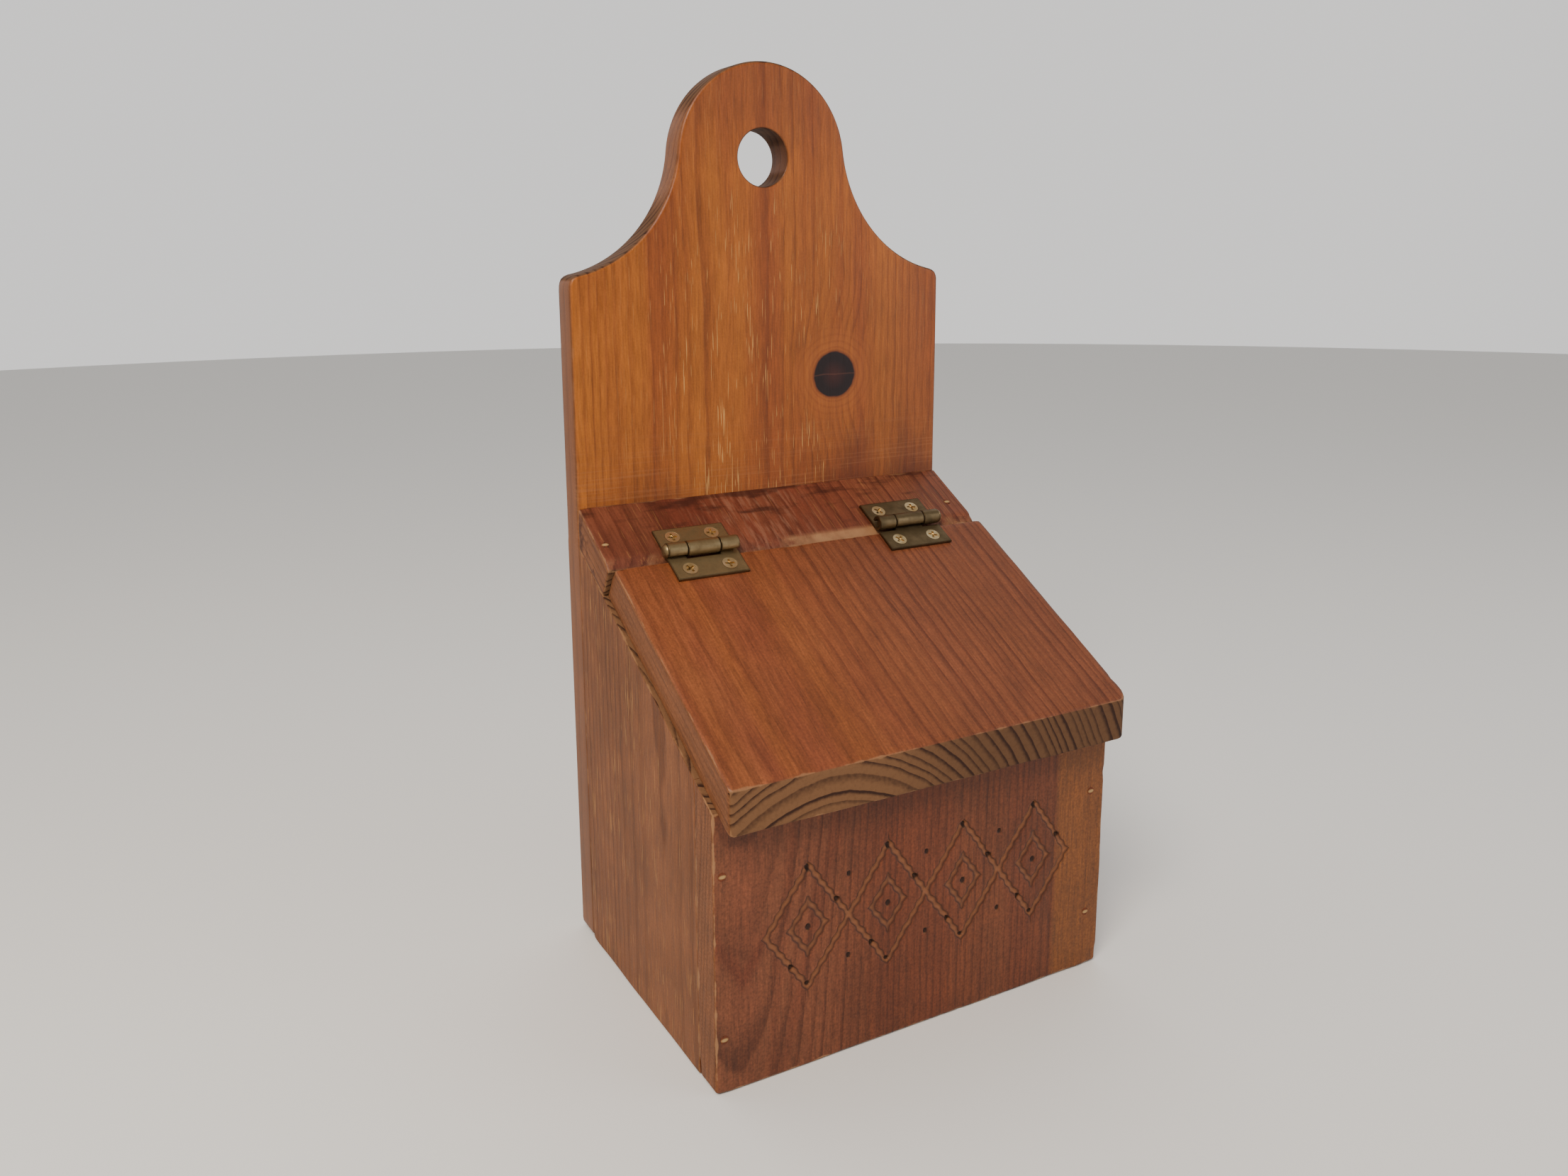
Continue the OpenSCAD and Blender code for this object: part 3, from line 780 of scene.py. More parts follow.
def back_board_outline(corner):
    """The outline of the back board seen from the front, anticlockwise, with points about
    1.5 mm apart."""
    lo, hi = Plan.back_lo, Plan.back_hi
    arch_r, shoulder, arch_x, cove_end = 32.0, 229.5, -1.0, math.radians(7)
    arch_z = hi[2] - arch_r
    half = (hi[0] - lo[0]) / 2
    halves = []
    for side in (1, -1):
        reach, fall = half - side * arch_x, arch_z - shoulder
        span = arch_r - reach * math.sin(cove_end) + fall * math.cos(cove_end)
        r = (reach ** 2 + fall ** 2 - arch_r ** 2) / (2 * span)
        x, z = side * (half + r * math.sin(cove_end)), shoulder + r * math.cos(cove_end)
        k = arch_r / (arch_r + r)
        touch = (arch_x + k * (x - arch_x), arch_z + k * (z - arch_z))
        start = math.atan2(shoulder - z, side * half - x)
        end = math.atan2(touch[1] - z, touch[0] - x)
        turn = (end - start + math.pi) % (2 * math.pi) - math.pi
        a = start + np.linspace(0, 1, 40) * turn
        cove = np.column_stack([x + r * np.cos(a), z + r * np.sin(a)])
        top = math.atan2(touch[1] - arch_z, touch[0] - arch_x)
        turn = (math.pi / 2 - top + math.pi) % (2 * math.pi) - math.pi
        a = top + np.linspace(0, 1, 34)[1:] * turn
        arch = np.column_stack([arch_x + arch_r * np.cos(a), arch_z + arch_r * np.sin(a)])
        edge = np.column_stack([np.full(150, side * half), np.linspace(lo[2], shoulder, 150)])[:-1]
        halves.append(np.concatenate([edge, cove, arch]))
    right, left = halves
    foot = np.column_stack([np.linspace(lo[0], hi[0], 96), np.full(96, lo[2])])[1:-1]
    loop = np.concatenate([foot, right, left[-2::-1]])
    # Round the four corners: a point close to a corner moves towards it less
    for x, z, radius in ((-half, shoulder, corner), (half, shoulder, corner), (-half, lo[2], 1.0),
                         (half, lo[2], 1.0)):
        reach = np.hypot(loop[:, 0] - x, loop[:, 1] - z)
        near = np.where(reach < 2.2 * radius)[0]
        for i in near:
            before, after = loop[(i - 2) % len(loop)], loop[(i + 2) % len(loop)]
            pull = 0.6 * (1 - reach[i] / (2.2 * radius))
            loop[i] = loop[i] * (1 - pull) + (before + after) / 2 * pull
    return loop


def back_marks(wood):
    """The knot, open grain, stains, rubbed lines and hole's painted shade of the back board."""
    tree, metres, knot = wood["tree"], wood["metres"], colours().knot
    across, deep, height = (add(tree, "SeparateXYZ", metres, out=axis) for axis in range(3))
    # The knot is a little wider than high, its outline wavers, and the lines bend round it
    away = add(tree, "VectorMath.SUBTRACT", metres, KNOT)
    away = add(tree, "VectorMath.MULTIPLY", away, (1000, 0, 1060))
    wobble = add(tree, "TexNoise", away, 0.13, 2, out="Color")
    wobble = add(tree, "VectorMath.MULTIPLY_ADD", wobble, (1.6, 0, 1.6), (-0.8, 0, -0.8))
    bent = add(tree, "VectorMath.ADD", away, wobble)
    reach = add(tree, "VectorMath.LENGTH", bent)
    long = add(tree, "VectorMath.MULTIPLY", away, (1, 0, 0.6))
    long = add(tree, "VectorMath.LENGTH", long)
    wood["push"] = add(tree, "MapRange.SMOOTHERSTEP", long, 24, 5, 0, 4)
    heart = add(tree, "MapRange.SMOOTHSTEP", reach, 8.9, 8.1)
    rim = add(tree, "MapRange.SMOOTHSTEP", reach, 10, 8.6, 0, 0.6)
    halo = add(tree, "MapRange", reach, 20, 10, 0, 0.45)
    rings = add(tree, "Math.MULTIPLY", reach, 2.6)
    rings = add(tree, "Math.SINE", rings)
    rings = add(tree, "MapRange", rings, 0, 1)
    around = add(tree, "Mix.RGBA", rings, linear("#a45c24"), linear("#8c4a1e"))
    # Its heart is redder in the middle, with a fine dry crack across
    swirl = add(tree, "MapRange", reach, 5.5, 0, 0, 0.55)
    crack = add(tree, "SeparateXYZ", bent, out=2)
    crack = add(tree, "Math.ABSOLUTE", crack)
    crack = add(tree, "MapRange", crack, 0.35, 0.1, 0, 0.28)
    inside_knot = lay_over(tree, knot, [(swirl, linear("#4a2018")), (crack, linear("#6a4030"))])
    # The open grain shows mostly in the middle of the board, and nowhere round the knot
    open_grain = add(tree, "Math.ADD", across, 0.006)
    open_grain = add(tree, "Math.ABSOLUTE", open_grain)
    open_grain = add(tree, "MapRange", open_grain, 0.026, 0.052, 1, 0.12)
    clear = add(tree, "MapRange", reach, 16, 22)
    open_grain = add(tree, "Math.MULTIPLY", open_grain, clear)
    high = add(tree, "MapRange", height, 0.236, 0.262, 1, 0.15)
    wood["open"] = add(tree, "Math.MULTIPLY", open_grain, high)
    # The wall of the hanging hole is painted darker, as painted shade inside the hole
    hole_shade = add(tree, "VectorMath.SUBTRACT", metres, (0.001 * HOLE[0], 0, 0.001 * HOLE[1]))
    hole_shade = add(tree, "VectorMath.MULTIPLY", hole_shade, (1000, 0, 1000))
    hole_shade = add(tree, "VectorMath.LENGTH", hole_shade)
    hole_shade = add(tree, "MapRange", hole_shade, HOLE_R + 0.6, HOLE_R + 0.2, 0, 0.6)
    # Rubbed lines on the front above the rail, where the lid has knocked and hands have wiped
    brushed = stretched_noise(tree, metres, (30, 30, 1400), 2)
    brushed = add(tree, "MapRange", brushed, 0.5, 0.68)
    low = add(tree, "MapRange.SMOOTHSTEP", height, 0.186, 0.160, 0, 0.2)
    for limit in ((height, 0.138, 0.142), (deep, 0.045, 0.044)):
        low = add(tree, "Math.MULTIPLY", low, add(tree, "MapRange", *limit))
    brushed = add(tree, "Math.MULTIPLY", brushed, low)
    # A dark stain that gathers low down, and a redder one along the right edge and the crown
    stain = stretched_noise(tree, metres, (55, 55, 22), 3)
    foot = add(tree, "MapRange", height, 0.190, 0.145, -0.3, 0.31)
    stain = add(tree, "Math.ADD", stain, foot)
    stain = add(tree, "MapRange", stain, 0.48, 0.9, 0, 0.9)
    redder = add(tree, "MapRange", across, 0.034, 0.06, 0, 0.5)
    crown = add(tree, "MapRange", height, 0.262, 0.284, 0, 0.6)
    redder = add(tree, "Math.MAXIMUM", redder, crown)
    wood["stains"] = [(redder, linear("#7e4220")), (stain, linear("#5e2a12"))]
    wood["layers"] = [(halo, around), (rim, linear("#5c2814")), (brushed, linear("#a8704a")),
                      (heart, inside_knot), (hole_shade, linear("#3c2010"))]


class SALTBOX_OT_back_board(bpy.types.Operator):
    """Makes the back board with its arch, coves, knot and hanging hole"""
    bl_idname = "salt_box.back_board"
    bl_label = "Back board"

    def execute(self, context):
        size = sizes()
        thick = Plan.wall_y - Plan.back_y
        loop = back_board_outline(size.shoulder)
        hidden = (loop[:, 1] < Plan.back_z + 2) & (np.abs(loop[:, 0]) > 70)
        rough = drift(np.column_stack([loop, loop[:, 0] * 0]), 18, 2)
        loops = [(loop, arris_rings(thick, size.worn_arris),
                  np.where(hidden, 0.3, 1 + 0.3 * rough)),
                 (circle(*HOLE, HOLE_R, 72, clockwise=True), arris_rings(thick, 0.5), np.ones(72))]
        # The nails are punched into holes that are a little wider and deeper than their heads
        rings = [(0, thick - 1.9), (0, thick - 0.15), (0.12, thick)]
        loops += [(circle(x, z, size.nail_head / 2 + PLAY, 20, clockwise=True), rings, np.ones(20))
                  for x, z in BACK_NAILS + BOTTOM_NAILS]
        flat, faces, edge = sheet_form(thick, loops, 3.2)
        points = np.column_stack([flat[:, 0], Plan.back_y + flat[:, 2], flat[:, 1]])
        inward = np.where(flat[:, 2] < thick / 2, 0.04, -0.04)
        points[:, 1] += np.where(edge > 3, inward * (1 + drift(points, 34.0, 5)), 0)
        piece = make_piece("back_board_pine", points, faces, {"edge": edge})

        # Flat-sawn pine with an orange varnish: wide lines, short pale streaks of open
        # grain, one dark knot that the lines bend round, and a darker stain above the rail
        look = pine_look("back", end=linear("#5e4029"), streak=0.7, speck=0.08, coat=0.05,
                         roughness=0.42, late=0.5, wear=0.22, fibre=0.28)
        wood = pine("Varnished pine, back", look, pith=(-14.0, 78.0), ring=2.6, waves=5.0)
        back_marks(wood)
        settle(piece, "box", ["back_board"], finish_pine(wood))
        return {"FINISHED"}


def carved_chain(size):
    """A function for the carved chain of lozenges. At points on the front it gives the
    depth in millimetres, how much of the groove there is, and how much punched dot."""
    count, wide, high = size.lozenges, size.lozenge_width, size.lozenge_height
    middle_x, middle_z = 0.5, 44.5

    def line(x, z, a, b, share, strength):
        """One lozenge's groove, gouged in short bites that wander in width and depth."""
        steep = math.hypot(2 / wide, 2 / high)
        spot = np.column_stack([x, z, 0 * x])
        across = (a / (wide / 2) + b / (high / 2) - share) / steep + 0.3 * drift(spot, 5.0, 31)
        bite = 0.5 + 0.5 * np.cos((b + 0.4 * drift(spot, 6.0, 32)) * 2 * math.pi / 3.1)
        half = size.groove_width / 2 * (0.72 + 0.4 * bite)
        return strength * np.clip(1 - (np.abs(across) / half) ** 1.6, 0, 1) * (0.75 + 0.25 * bite)

    # Dots as (x, z, share of the full size): in the middle, at the points and on the sides
    # of each lozenge, and above and below where two meet
    on_lozenge = ((0, 0, 1.0), (0, high / 2 - 1, 0.9), (0, 1 - high / 2, 0.9),
                  (wide * 0.36, high * 0.15, 0.9), (-wide * 0.2, -high * 0.3, 0.9))
    dots = [(middle_x + (k - count / 2 + 0.5) * wide + dx, middle_z + dz, share)
            for k in range(count) for dx, dz, share in on_lozenge]
    dots += [(middle_x + (k - count / 2) * wide, middle_z + side * high * 0.34, 0.85)
             for k in range(1, count) for side in (-1, 1)]

    def depth(x, z):
        u = (x - middle_x) / wide + count / 2
        cell = np.clip(np.floor(u), 0, count - 1)
        a, b = np.abs(u - cell - 0.5) * wide, np.abs(z - middle_z)
        groove = np.maximum(line(x, z, a, b, 1, 1), line(x, z, a, b, 0.42, 0.8))
        punch = np.zeros_like(x)
        for dot_x, dot_z, share in dots:
            reach = np.hypot(x - dot_x, (z - dot_z) * 0.85) / (size.punch_radius * share)
            punch = np.maximum(punch, np.clip(1.3 - reach ** 2, 0, 1))
        return groove * size.groove_depth + punch * 0.6, groove, punch

    return depth


def sloped_top(size_z, front_height):
    """Puts a wall board's top on the slope: front_height is its height at its front."""
    def place_z(y, z):
        reach = np.clip((z / size_z - 0.45) / 0.45, 0, 1)
        return z + (front_height + (y - Plan.front_y) * Plan.rise - size_z) * reach
    return place_z


def front_marks(wood):
    """The lean of the rings, the dark and warm parts, and the painted shade and highlight in the
    carving.
    """
    tree, metres = wood["tree"], wood["metres"]
    x, z = (add(tree, "SeparateXYZ", metres, out=axis) for axis in (0, 2))
    # The rings lean out as they rise at the left and stand upright at the right
    lean = add(tree, "MapRange", x, -0.045, -0.01, -90, -12)
    wood["push"] = add(tree, "Math.MULTIPLY", z, lean)
    # A dark V where a knot was near, and two red bands that lean with the rings, as (line,
    # middle, reach, core, strength) in metres
    vee = add(tree, "Math.ADD", x, 0.063)
    vee = add(tree, "Math.ABSOLUTE", vee)
    vee = add(tree, "Math.MULTIPLY_ADD", vee, -1.5, z)
    marks = [(vee, 0.034, 0.006, 0.0015, 0.6)]
    for slant, *rest in ((-0.27, -0.0514, 0.004, 0.001, 0.42),
                         (-0.10, -0.0546, 0.003, 0.0005, 0.38)):
        marks.append((add(tree, "Math.MULTIPLY_ADD", z, slant, x), *rest))
    ragged = stretched_noise(tree, metres, (500, 500, 60), 2)
    ragged = add(tree, "Math.MULTIPLY_ADD", ragged, 0.005, -0.0025)
    reds = [close_to(tree, add(tree, "Math.ADD", line, ragged), *rest) for line, *rest in marks]
    vee_ends = add(tree, "MapRange", x, -0.053, -0.057)
    reds[0] = add(tree, "Math.MULTIPLY", reds[0], vee_ends)
    # The carved grooves are painted darker as painted shade, and their middles lighter as a
    # painted highlight
    groove = add(tree, "Attribute", attribute_name="cut", out="Fac")
    painted_highlight = add(tree, "MapRange", groove, 0.35, 0.8, 0, 0.7)
    dirt_and_shade = add(tree, "MapRange", groove, 0.02, 0.25, 0, 0.8)
    punch = add(tree, "Attribute", attribute_name="punch", out="Fac")
    punch = add(tree, "MapRange", punch, 0.1, 0.6, 0, 0.85)
    # The left third took less stain, and a warm strip at the right has fainter lines
    pale = add(tree, "MapRange", x, -0.012, -0.05, 0, 0.4)
    shaded = add(tree, "MapRange", x, 0.036, 0.05, 0, 0.4)
    warm = add(tree, "MapRange.SMOOTHSTEP", x, 0.0505, 0.0535, 0, 0.9)
    wood["lines"] = add(tree, "MapRange", warm, 0, 0.9, 1, 0.4)
    reds = [(red, linear("#5c2a18")) for red in reds]
    wood["stains"] = [(pale, linear("#744731")), *reds, (shaded, linear("#552a16")),
                      (warm, linear("#74441f"))]
    wood["layers"] = [(dirt_and_shade, linear("#3d2114")), (painted_highlight, linear("#8f5a38")),
                      (punch, linear("#150c08"))]


class SALTBOX_OT_front_board(bpy.types.Operator):
    """Makes the front board with its carved chain of lozenges"""
    bl_idname = "salt_box.front_board"
    bl_label = "Front board"

    def execute(self, context):
        size = sizes()
        box = (Plan.right - Plan.left, Plan.inner_y - Plan.front_y, Plan.front_h)
        worn = size.worn_arris
        # The grid is finer over the carving
        fine = ((14.0, 131.0, 0.4), None, (24.0, 65.0, 0.4))
        lines = [grid_lines(length, worn, 3.0, part) for length, part in zip(box, fine)]
        depth = carved_chain(size)
        top = sloped_top(box[2], Plan.front_h)

        def shape(p, moved, _):
            face = p[:, 1] < 1e-6
            cut, groove, punch = depth(Plan.left + moved[:, 0], moved[:, 2])
            moved[:, 1] += np.where(face, cut, 0)
            return moved, {"cut": groove * face, "punch": punch * face}

        def place(q):
            y = Plan.front_y + q[:, 1]
            return np.column_stack([Plan.left + q[:, 0], y, top(y, q[:, 2])])

        rims = [(1, 0, 2, 0, worn), (1, 0, 0, 0, worn * 0.8), (1, 0, 0, 1, worn * 0.8),
                (0, 0, 2, 0, worn * 1.6), (0, 1, 2, 0, worn * 1.6)]
        form = board_form(box, lines, worn_rims(size.arris, rims, 4), place, 6, shape)
        piece = make_piece("front_board_pine", *form)

        # Stained pine, satin: fine upright lines with a dark cathedral at the left, an orange
        # strip at the right, and carved grooves painted darker as shade, with a painted highlight
        # down their middles
        look = pine_look("front", late=0.65, patch=0.2, fibre=0.3, speck=0.24, wear=0.75,
                         wear_reach=0.5)
        wood = pine("Stained pine, front", look, pith=(-64.0, -22.0), ring=2.5, waves=2.2)
        front_marks(wood)
        settle(piece, "box", ["front_board"], finish_pine(wood))
        return {"FINISHED"}


class SALTBOX_OT_side_boards(bpy.types.Operator):
    """Makes the two side boards, whose tops carry the slope"""
    bl_idname = "salt_box.side_boards"
    bl_label = "Side boards"

    def execute(self, context):
        size = sizes()
        # Stained pine, satin: brown upright grain with short pale streaks, and rough brown
        # end grain along the sloping top
        look = pine_look("side", streak=0.4, late=0.65, patch=0.2, fibre=0.34)
        wood = pine("Stained pine, sides", look, pith=(-120.0, -20.0), ring=2.6, waves=6.0)
        material = finish_pine(wood)
        box = (Plan.side_t, Plan.back_y - Plan.inner_y, Plan.front_h + Plan.side_t * Plan.rise)
        top = sloped_top(box[2], Plan.front_h)
        worn = size.worn_arris
        lines = [grid_lines(length, worn, 3.0) for length in box]
        for name, x0, outer in (("left", Plan.left, 0), ("right", Plan.right - Plan.side_t, 1)):
            def place(q):
                y = Plan.inner_y + q[:, 1]
                return np.column_stack([x0 + q[:, 0], y, top(y, q[:, 2])])
            rims = [(0, outer, 2, 0, worn * 0.9), (0, outer, 2, 1, worn * 0.5)]
            form = board_form(box, lines, worn_rims(size.arris, rims, 8 + outer), place, 9 + outer)
            piece = make_piece(f"side_{name}_pine", *form)
            settle(piece, "box", [f"side_{name}"], material)
        return {"FINISHED"}


class SALTBOX_OT_bottom_board(bpy.types.Operator):
    """Makes the bottom board that lies between the walls"""
    bl_idname = "salt_box.bottom_board"
    bl_label = "Bottom board"

    def execute(self, context):
        lo, hi = Plan.bottom_lo, Plan.bottom_hi
        lines = [grid_lines(length, 0.6, 4.0) for length in hi - lo]
        rounding = worn_rims(sizes().arris, [], 12)
        piece = make_piece("bottom_board_pine",
                           *board_form(hi - lo, lines, rounding, lambda q: q + lo, 12))
        # Plain unpolished pine, duller than the outside because salt and hands never shine it
        wood = pine("Plain pine, bottom", pine_look("side", roughness=0.7, wear=0.2),
                    tilt=math.radians(90), pith=(12.0, 60.0), ring=2.8)
        settle(piece, "box", ["bottom_board"], finish_pine(wood))
        return {"FINISHED"}


def rail_marks(wood):
    """The bare strip, the soot, the pale half and the feathered figure of the rail."""
    tree, metres = wood["tree"], wood["metres"]
    x, y = (add(tree, "SeparateXYZ", metres, out=axis) for axis in (0, 1))
    # Rubbed bare along the front arris, more and more up to the right hinge
    ease = add(tree, "Attribute", attribute_name="ease", out="Fac")
    rub = add(tree, "TexNoise", metres, 110, 5)
    for limit in ((-0.02, 0.028, -0.04, 0.36), (0.028, 0.034, 0, -0.32)):
        rub = add(tree, "Math.ADD", rub, add(tree, "MapRange", x, *limit))
    rub = add(tree, "MapRange", rub, 0.52, 0.86, 0, 0.9)
    strip = add(tree, "MapRange", ease, 0.03, 0.3)
    strip = add(tree, "Math.MULTIPLY", strip, rub)
    soot = stretched_noise(tree, metres, (70, 260, 260), 4)
    back = add(tree, "MapRange", y, 0.026, 0.042, -0.1, 0.14)
    soot = add(tree, "Math.ADD", soot, back)
    soot = add(tree, "MapRange", soot, 0.55, 0.72, 0, 0.75)
    # The right half took less stain, and its middle has a pale feathered figure
    pale = add(tree, "MapRange", x, 0, 0.05, 0, 0.6)
    feather = stretched_noise(tree, metres, (900, 120, 120), 3)
    feather = add(tree, "MapRange", feather, 0.48, 0.66, 0, 0.36)
    feather = add(tree, "Math.MULTIPLY", feather, close_to(tree, x, -0.012, 0.03, 0.012))
    wood["stains"] = [(pale, linear("#7c472e"))]
    wood["layers"] = [(feather, linear("#966850")), (soot, linear("#35160d")),
                      (strip, colours().raw)]


class SALTBOX_OT_hinge_rail(bpy.types.Operator):
    """Makes the fixed rail that carries the hinges"""
    bl_idname = "salt_box.hinge_rail"
    bl_label = "Hinge rail"

    def execute(self, context):
        size = sizes()
        box = (Plan.right - Plan.left, Plan.rail_s, Plan.lid_t)
        worn, wide, high = size.worn_arris, size.ease_width, size.ease_height
        lines = [grid_lines(length, worn, step) for length, step in zip(box, (2.5, 1.2, 2.5))]

        def shape(p, moved, _):
            into = np.clip((moved[:, 1] - (box[1] - wide)) / wide, 0, 1)
            over = np.clip((moved[:, 2] - (box[2] - high - 0.6)) / 0.6, 0, 1)
            moved[:, 2] -= over * high * into ** 1.4
            return moved, {"ease": into * over}

        def place(q):
            reach = 1 - np.clip((q[:, 1] / box[1] - 0.3) / 0.3, 0, 1)
            return on_slope(Plan.left + q[:, 0], q[:, 1] - q[:, 2] * Plan.rise * reach, q[:, 2])

        rims = [(0, 0, 2, 1, worn * 0.8), (0, 1, 2, 1, worn * 0.8), (0, 0, 1, 1, worn),
                (0, 1, 1, 1, worn)]
        form = board_form(box, lines, worn_rims(size.arris, rims, 14), place, 15, shape)
        piece = make_piece("hinge_rail_pine", *form)

        # Stained pine, redder and more scuffed than the lid that was cut from the same
        # board, with raw wood on its front arris between the hinges and stains at its back
        look = pine_look("rail", streak=0.15, patch=0.22, fibre=0.28)
        wood = pine("Stained pine, rail", look, **SLOPE_GRAIN)
        rail_marks(wood)
        settle(piece, "box", ["hinge_rail"], finish_pine(wood))
        return {"FINISHED"}


def lid_marks(wood):
    """The darker right half, the quiet orange left half and the dirt in the end grain."""
    tree = wood["tree"]
    right = add(tree, "SeparateXYZ", wood["metres"])
    right = add(tree, "MapRange.SMOOTHSTEP", right, -0.03, 0.02, 0, 0.85)
    blotch = stretched_noise(tree, wood["metres"], (75, 28, 28), 3)
    blotch = add(tree, "MapRange", blotch, 0.44, 0.66, 0, 0.5)
    quiet = add(tree, "Math.SUBTRACT", 1, right)
    blotch = add(tree, "Math.MULTIPLY", blotch, quiet)
    wood["lines"] = add(tree, "MapRange", right, 0, 0.85, 0.6, 1)
    wood["stains"] = [(right, linear("#744128")), (blotch, linear("#8a4f2b"))]
    dirt = add(tree, "Math.MULTIPLY", right, wood["end"])
    dirt = add(tree, "Math.MULTIPLY", dirt, 0.45)
    wood["layers"] = [(dirt, linear("#2a160b"))]


class SALTBOX_OT_lid(bpy.types.Operator):
    """Makes the sloping lid with its rounded front corners"""
    bl_idname = "salt_box.lid"
    bl_label = "Lid"

    def execute(self, context):
        size = sizes()
        x0, x1 = Plan.lid_lo[0], Plan.lid_hi[0]
        box = (x1 - x0, Plan.lid_end_s - Plan.lid_s - Plan.seat * Plan.rise,
               Plan.lid_t - Plan.seat)
        worn = size.worn_arris
        corners = (size.lid_corner, size.lid_worn_corner)
        rims_and_steps = ((max(corners), 2.5), (max(corners), 2.5), (worn, 2.0))
        lines = [grid_lines(length, *more) for length, more in zip(box, rims_and_steps)]

        def place(q):
            u, v, n = q[:, 0].copy(), q[:, 1].copy(), q[:, 2]
            # Round the two front corners by squeezing their square on to a quarter disc
            for end, corner in enumerate(corners):
                reach_v = corner / Plan.up
                a = corner - (u if end == 0 else box[0] - u)
                b = (v - (box[1] - reach_v)) / reach_v * corner
                near = (a > 0) & (b > 0)
                scale = np.where(near, np.maximum(a, b) / np.maximum(np.hypot(a, b), 1e-9), 1)
                squeezed = corner - a * scale
                u = np.where(near, squeezed if end == 0 else box[0] - squeezed, u)
                v = np.where(near, box[1] - reach_v + b * scale / corner * reach_v, v)
            reach = np.clip((v / box[1] - 0.6) / 0.3, 0, 1)
            return on_slope(x0 + u, Plan.lid_s + v - n * Plan.rise * reach, Plan.seat + n)

        rims = [(0, 0, 2, 1, worn), (0, 1, 2, 1, worn * 0.9), (1, 1, 2, 1, worn * 1.1),
                (1, 1, 2, 0, worn * 0.6), (1, 0, 2, 1, worn * 0.6)]
        form = board_form(box, lines, worn_rims(size.arris, rims, 17), place, 18)
        piece = make_piece("lid_pine", *form)

        # Stained pine, satin: lines that run down the slope, wide and wavy at the left and
        # close together at the right, where the rings stand more upright
        look = pine_look("lid", wear_reach=0.1, fibre=0.3, late=0.75, speck=0.16)
        wood = pine("Stained pine, lid", look, **SLOPE_GRAIN)
        lid_marks(wood)
        settle(piece, "lid", ["lid"], finish_pine(wood))
        return {"FINISHED"}


# The hinges

def hinge_middle(side):
    lo, hi = node_box(f"hinge_{side}_rail_leaf")
    return (lo[0] + hi[0]) / 2, (hi[0] - lo[0]) / 2


def at_hinge(side, points):
    """Takes points from a hinge's own frame, pin along X, up the slope +Y, to the part."""
    x = hinge_middle(side)[0] + points[:, 0]
    return on_slope(x, Plan.pin_s - points[:, 1], Plan.lid_t + Plan.knuckle_r + points[:, 2])


def hinge_brass(side):
    """The bare and the tarnished brass of a hinge, and the dark colour of its dirt and painted
    edge shade. The right one is darker.
    """
    c = colours()
    tones = (c.brass, c.brass_dull, c.brass_dark)
    return (*(tones[:2] if side == "left" else tones[1:]), c.grime)


def leaf_outline(half, reach, tabs, curl, free):
    """Outline of a leaf before its tabs are curled: plate from free to reach, tabs down to
    -curl, anticlockwise, with points no more than 0.5 mm apart."""
    corners = [(half, reach), (-half, reach)]
    for start, end in tabs:
        corners += [(start, free), (start, -curl), (end, -curl), (end, free)]
    corners = [(-half, free)] + corners[2:] + [(half, free)] + corners[:2]
    clean = [p for i, p in enumerate(corners) if math.dist(p, corners[i - 1]) > 1e-6]
    loop = []
    for i, (x, y) in enumerate(clean):
        x1, y1 = clean[(i + 1) % len(clean)]
        steps = max(1, math.ceil(math.dist((x, y), (x1, y1)) / 0.5))
        loop += [(x + (x1 - x) * k / steps, y + (y1 - y) * k / steps) for k in range(steps)]
    return np.array(loop)


class SALTBOX_OT_hinge_leaves(bpy.types.Operator):
    """Makes the four hinge leaves, curled from sheet brass round their pins"""
    bl_idname = "salt_box.hinge_leaves"
    bl_label = "Hinge leaves"

    def execute(self, context):
        size = sizes()
        thick, radius, gap = size.leaf_thickness, Plan.knuckle_r, size.knuckle_gap
        middle_r = radius - thick / 2
        curl = middle_r * math.radians(280)
        near, far = size.middle_knuckle / 2 - gap / 2, size.middle_knuckle / 2 + gap / 2
        # Countersunk right through the leaf, and open a little above it
        sink = [(thick + 0.3, 0), (thick + 0.06, 0), (thick - 0.03, 0.06), (0, thick)]
        for side, middle_leaf in (("left", "rail"), ("right", "lid")):
            # Old rolled brass: brown tarnish with brighter rubbed patches and dirt in the pits,
            # deeper on the right hinge, and a darker rim along its edges, partly dirt and partly
            # painted shade
            brass = metal(f"Aged brass sheet, {side}", *hinge_brass(side), 0.5, 0.3, rim=0.7)
            half = hinge_middle(side)[1]
            for leaf, toward in (("rail", 1), ("lid", -1)):
                tabs = [(-near, near)] if leaf == middle_leaf else [(-half, -far), (far, half)]
                loop = leaf_outline(half, size.leaf_width, tabs, curl, radius + gap)
                loops = [(loop, arris_rings(thick, 0.22), np.ones(len(loop)))]
                for x in (-size.screw_pitch / 2, size.screw_pitch / 2):
                    hole = circle(x, size.screw_row, size.screw_head / 2 + PLAY - thick, 32,
                                  clockwise=True)
                    loops.append((hole, sink, np.ones(32)))
                flat, faces, edge = sheet_form(thick, loops, 0.55)
                x, y, z = flat[:, 0], flat[:, 1], thick - flat[:, 2] - radius
                angle = np.clip(-y, 0, None) / middle_r
                points = np.column_stack([x, np.where(y < 0, z * np.sin(angle), y) * toward,
                                          np.where(y < 0, z * np.cos(angle), z)])
                piece = make_piece(f"hinge_{side}_{leaf}_leaf_brass", at_hinge(side, points),
                                   faces, {"edge": edge})
                settle(piece, LEAF_BODY[leaf], [f"hinge_{side}_{leaf}_leaf"], brass)
        return {"FINISHED"}


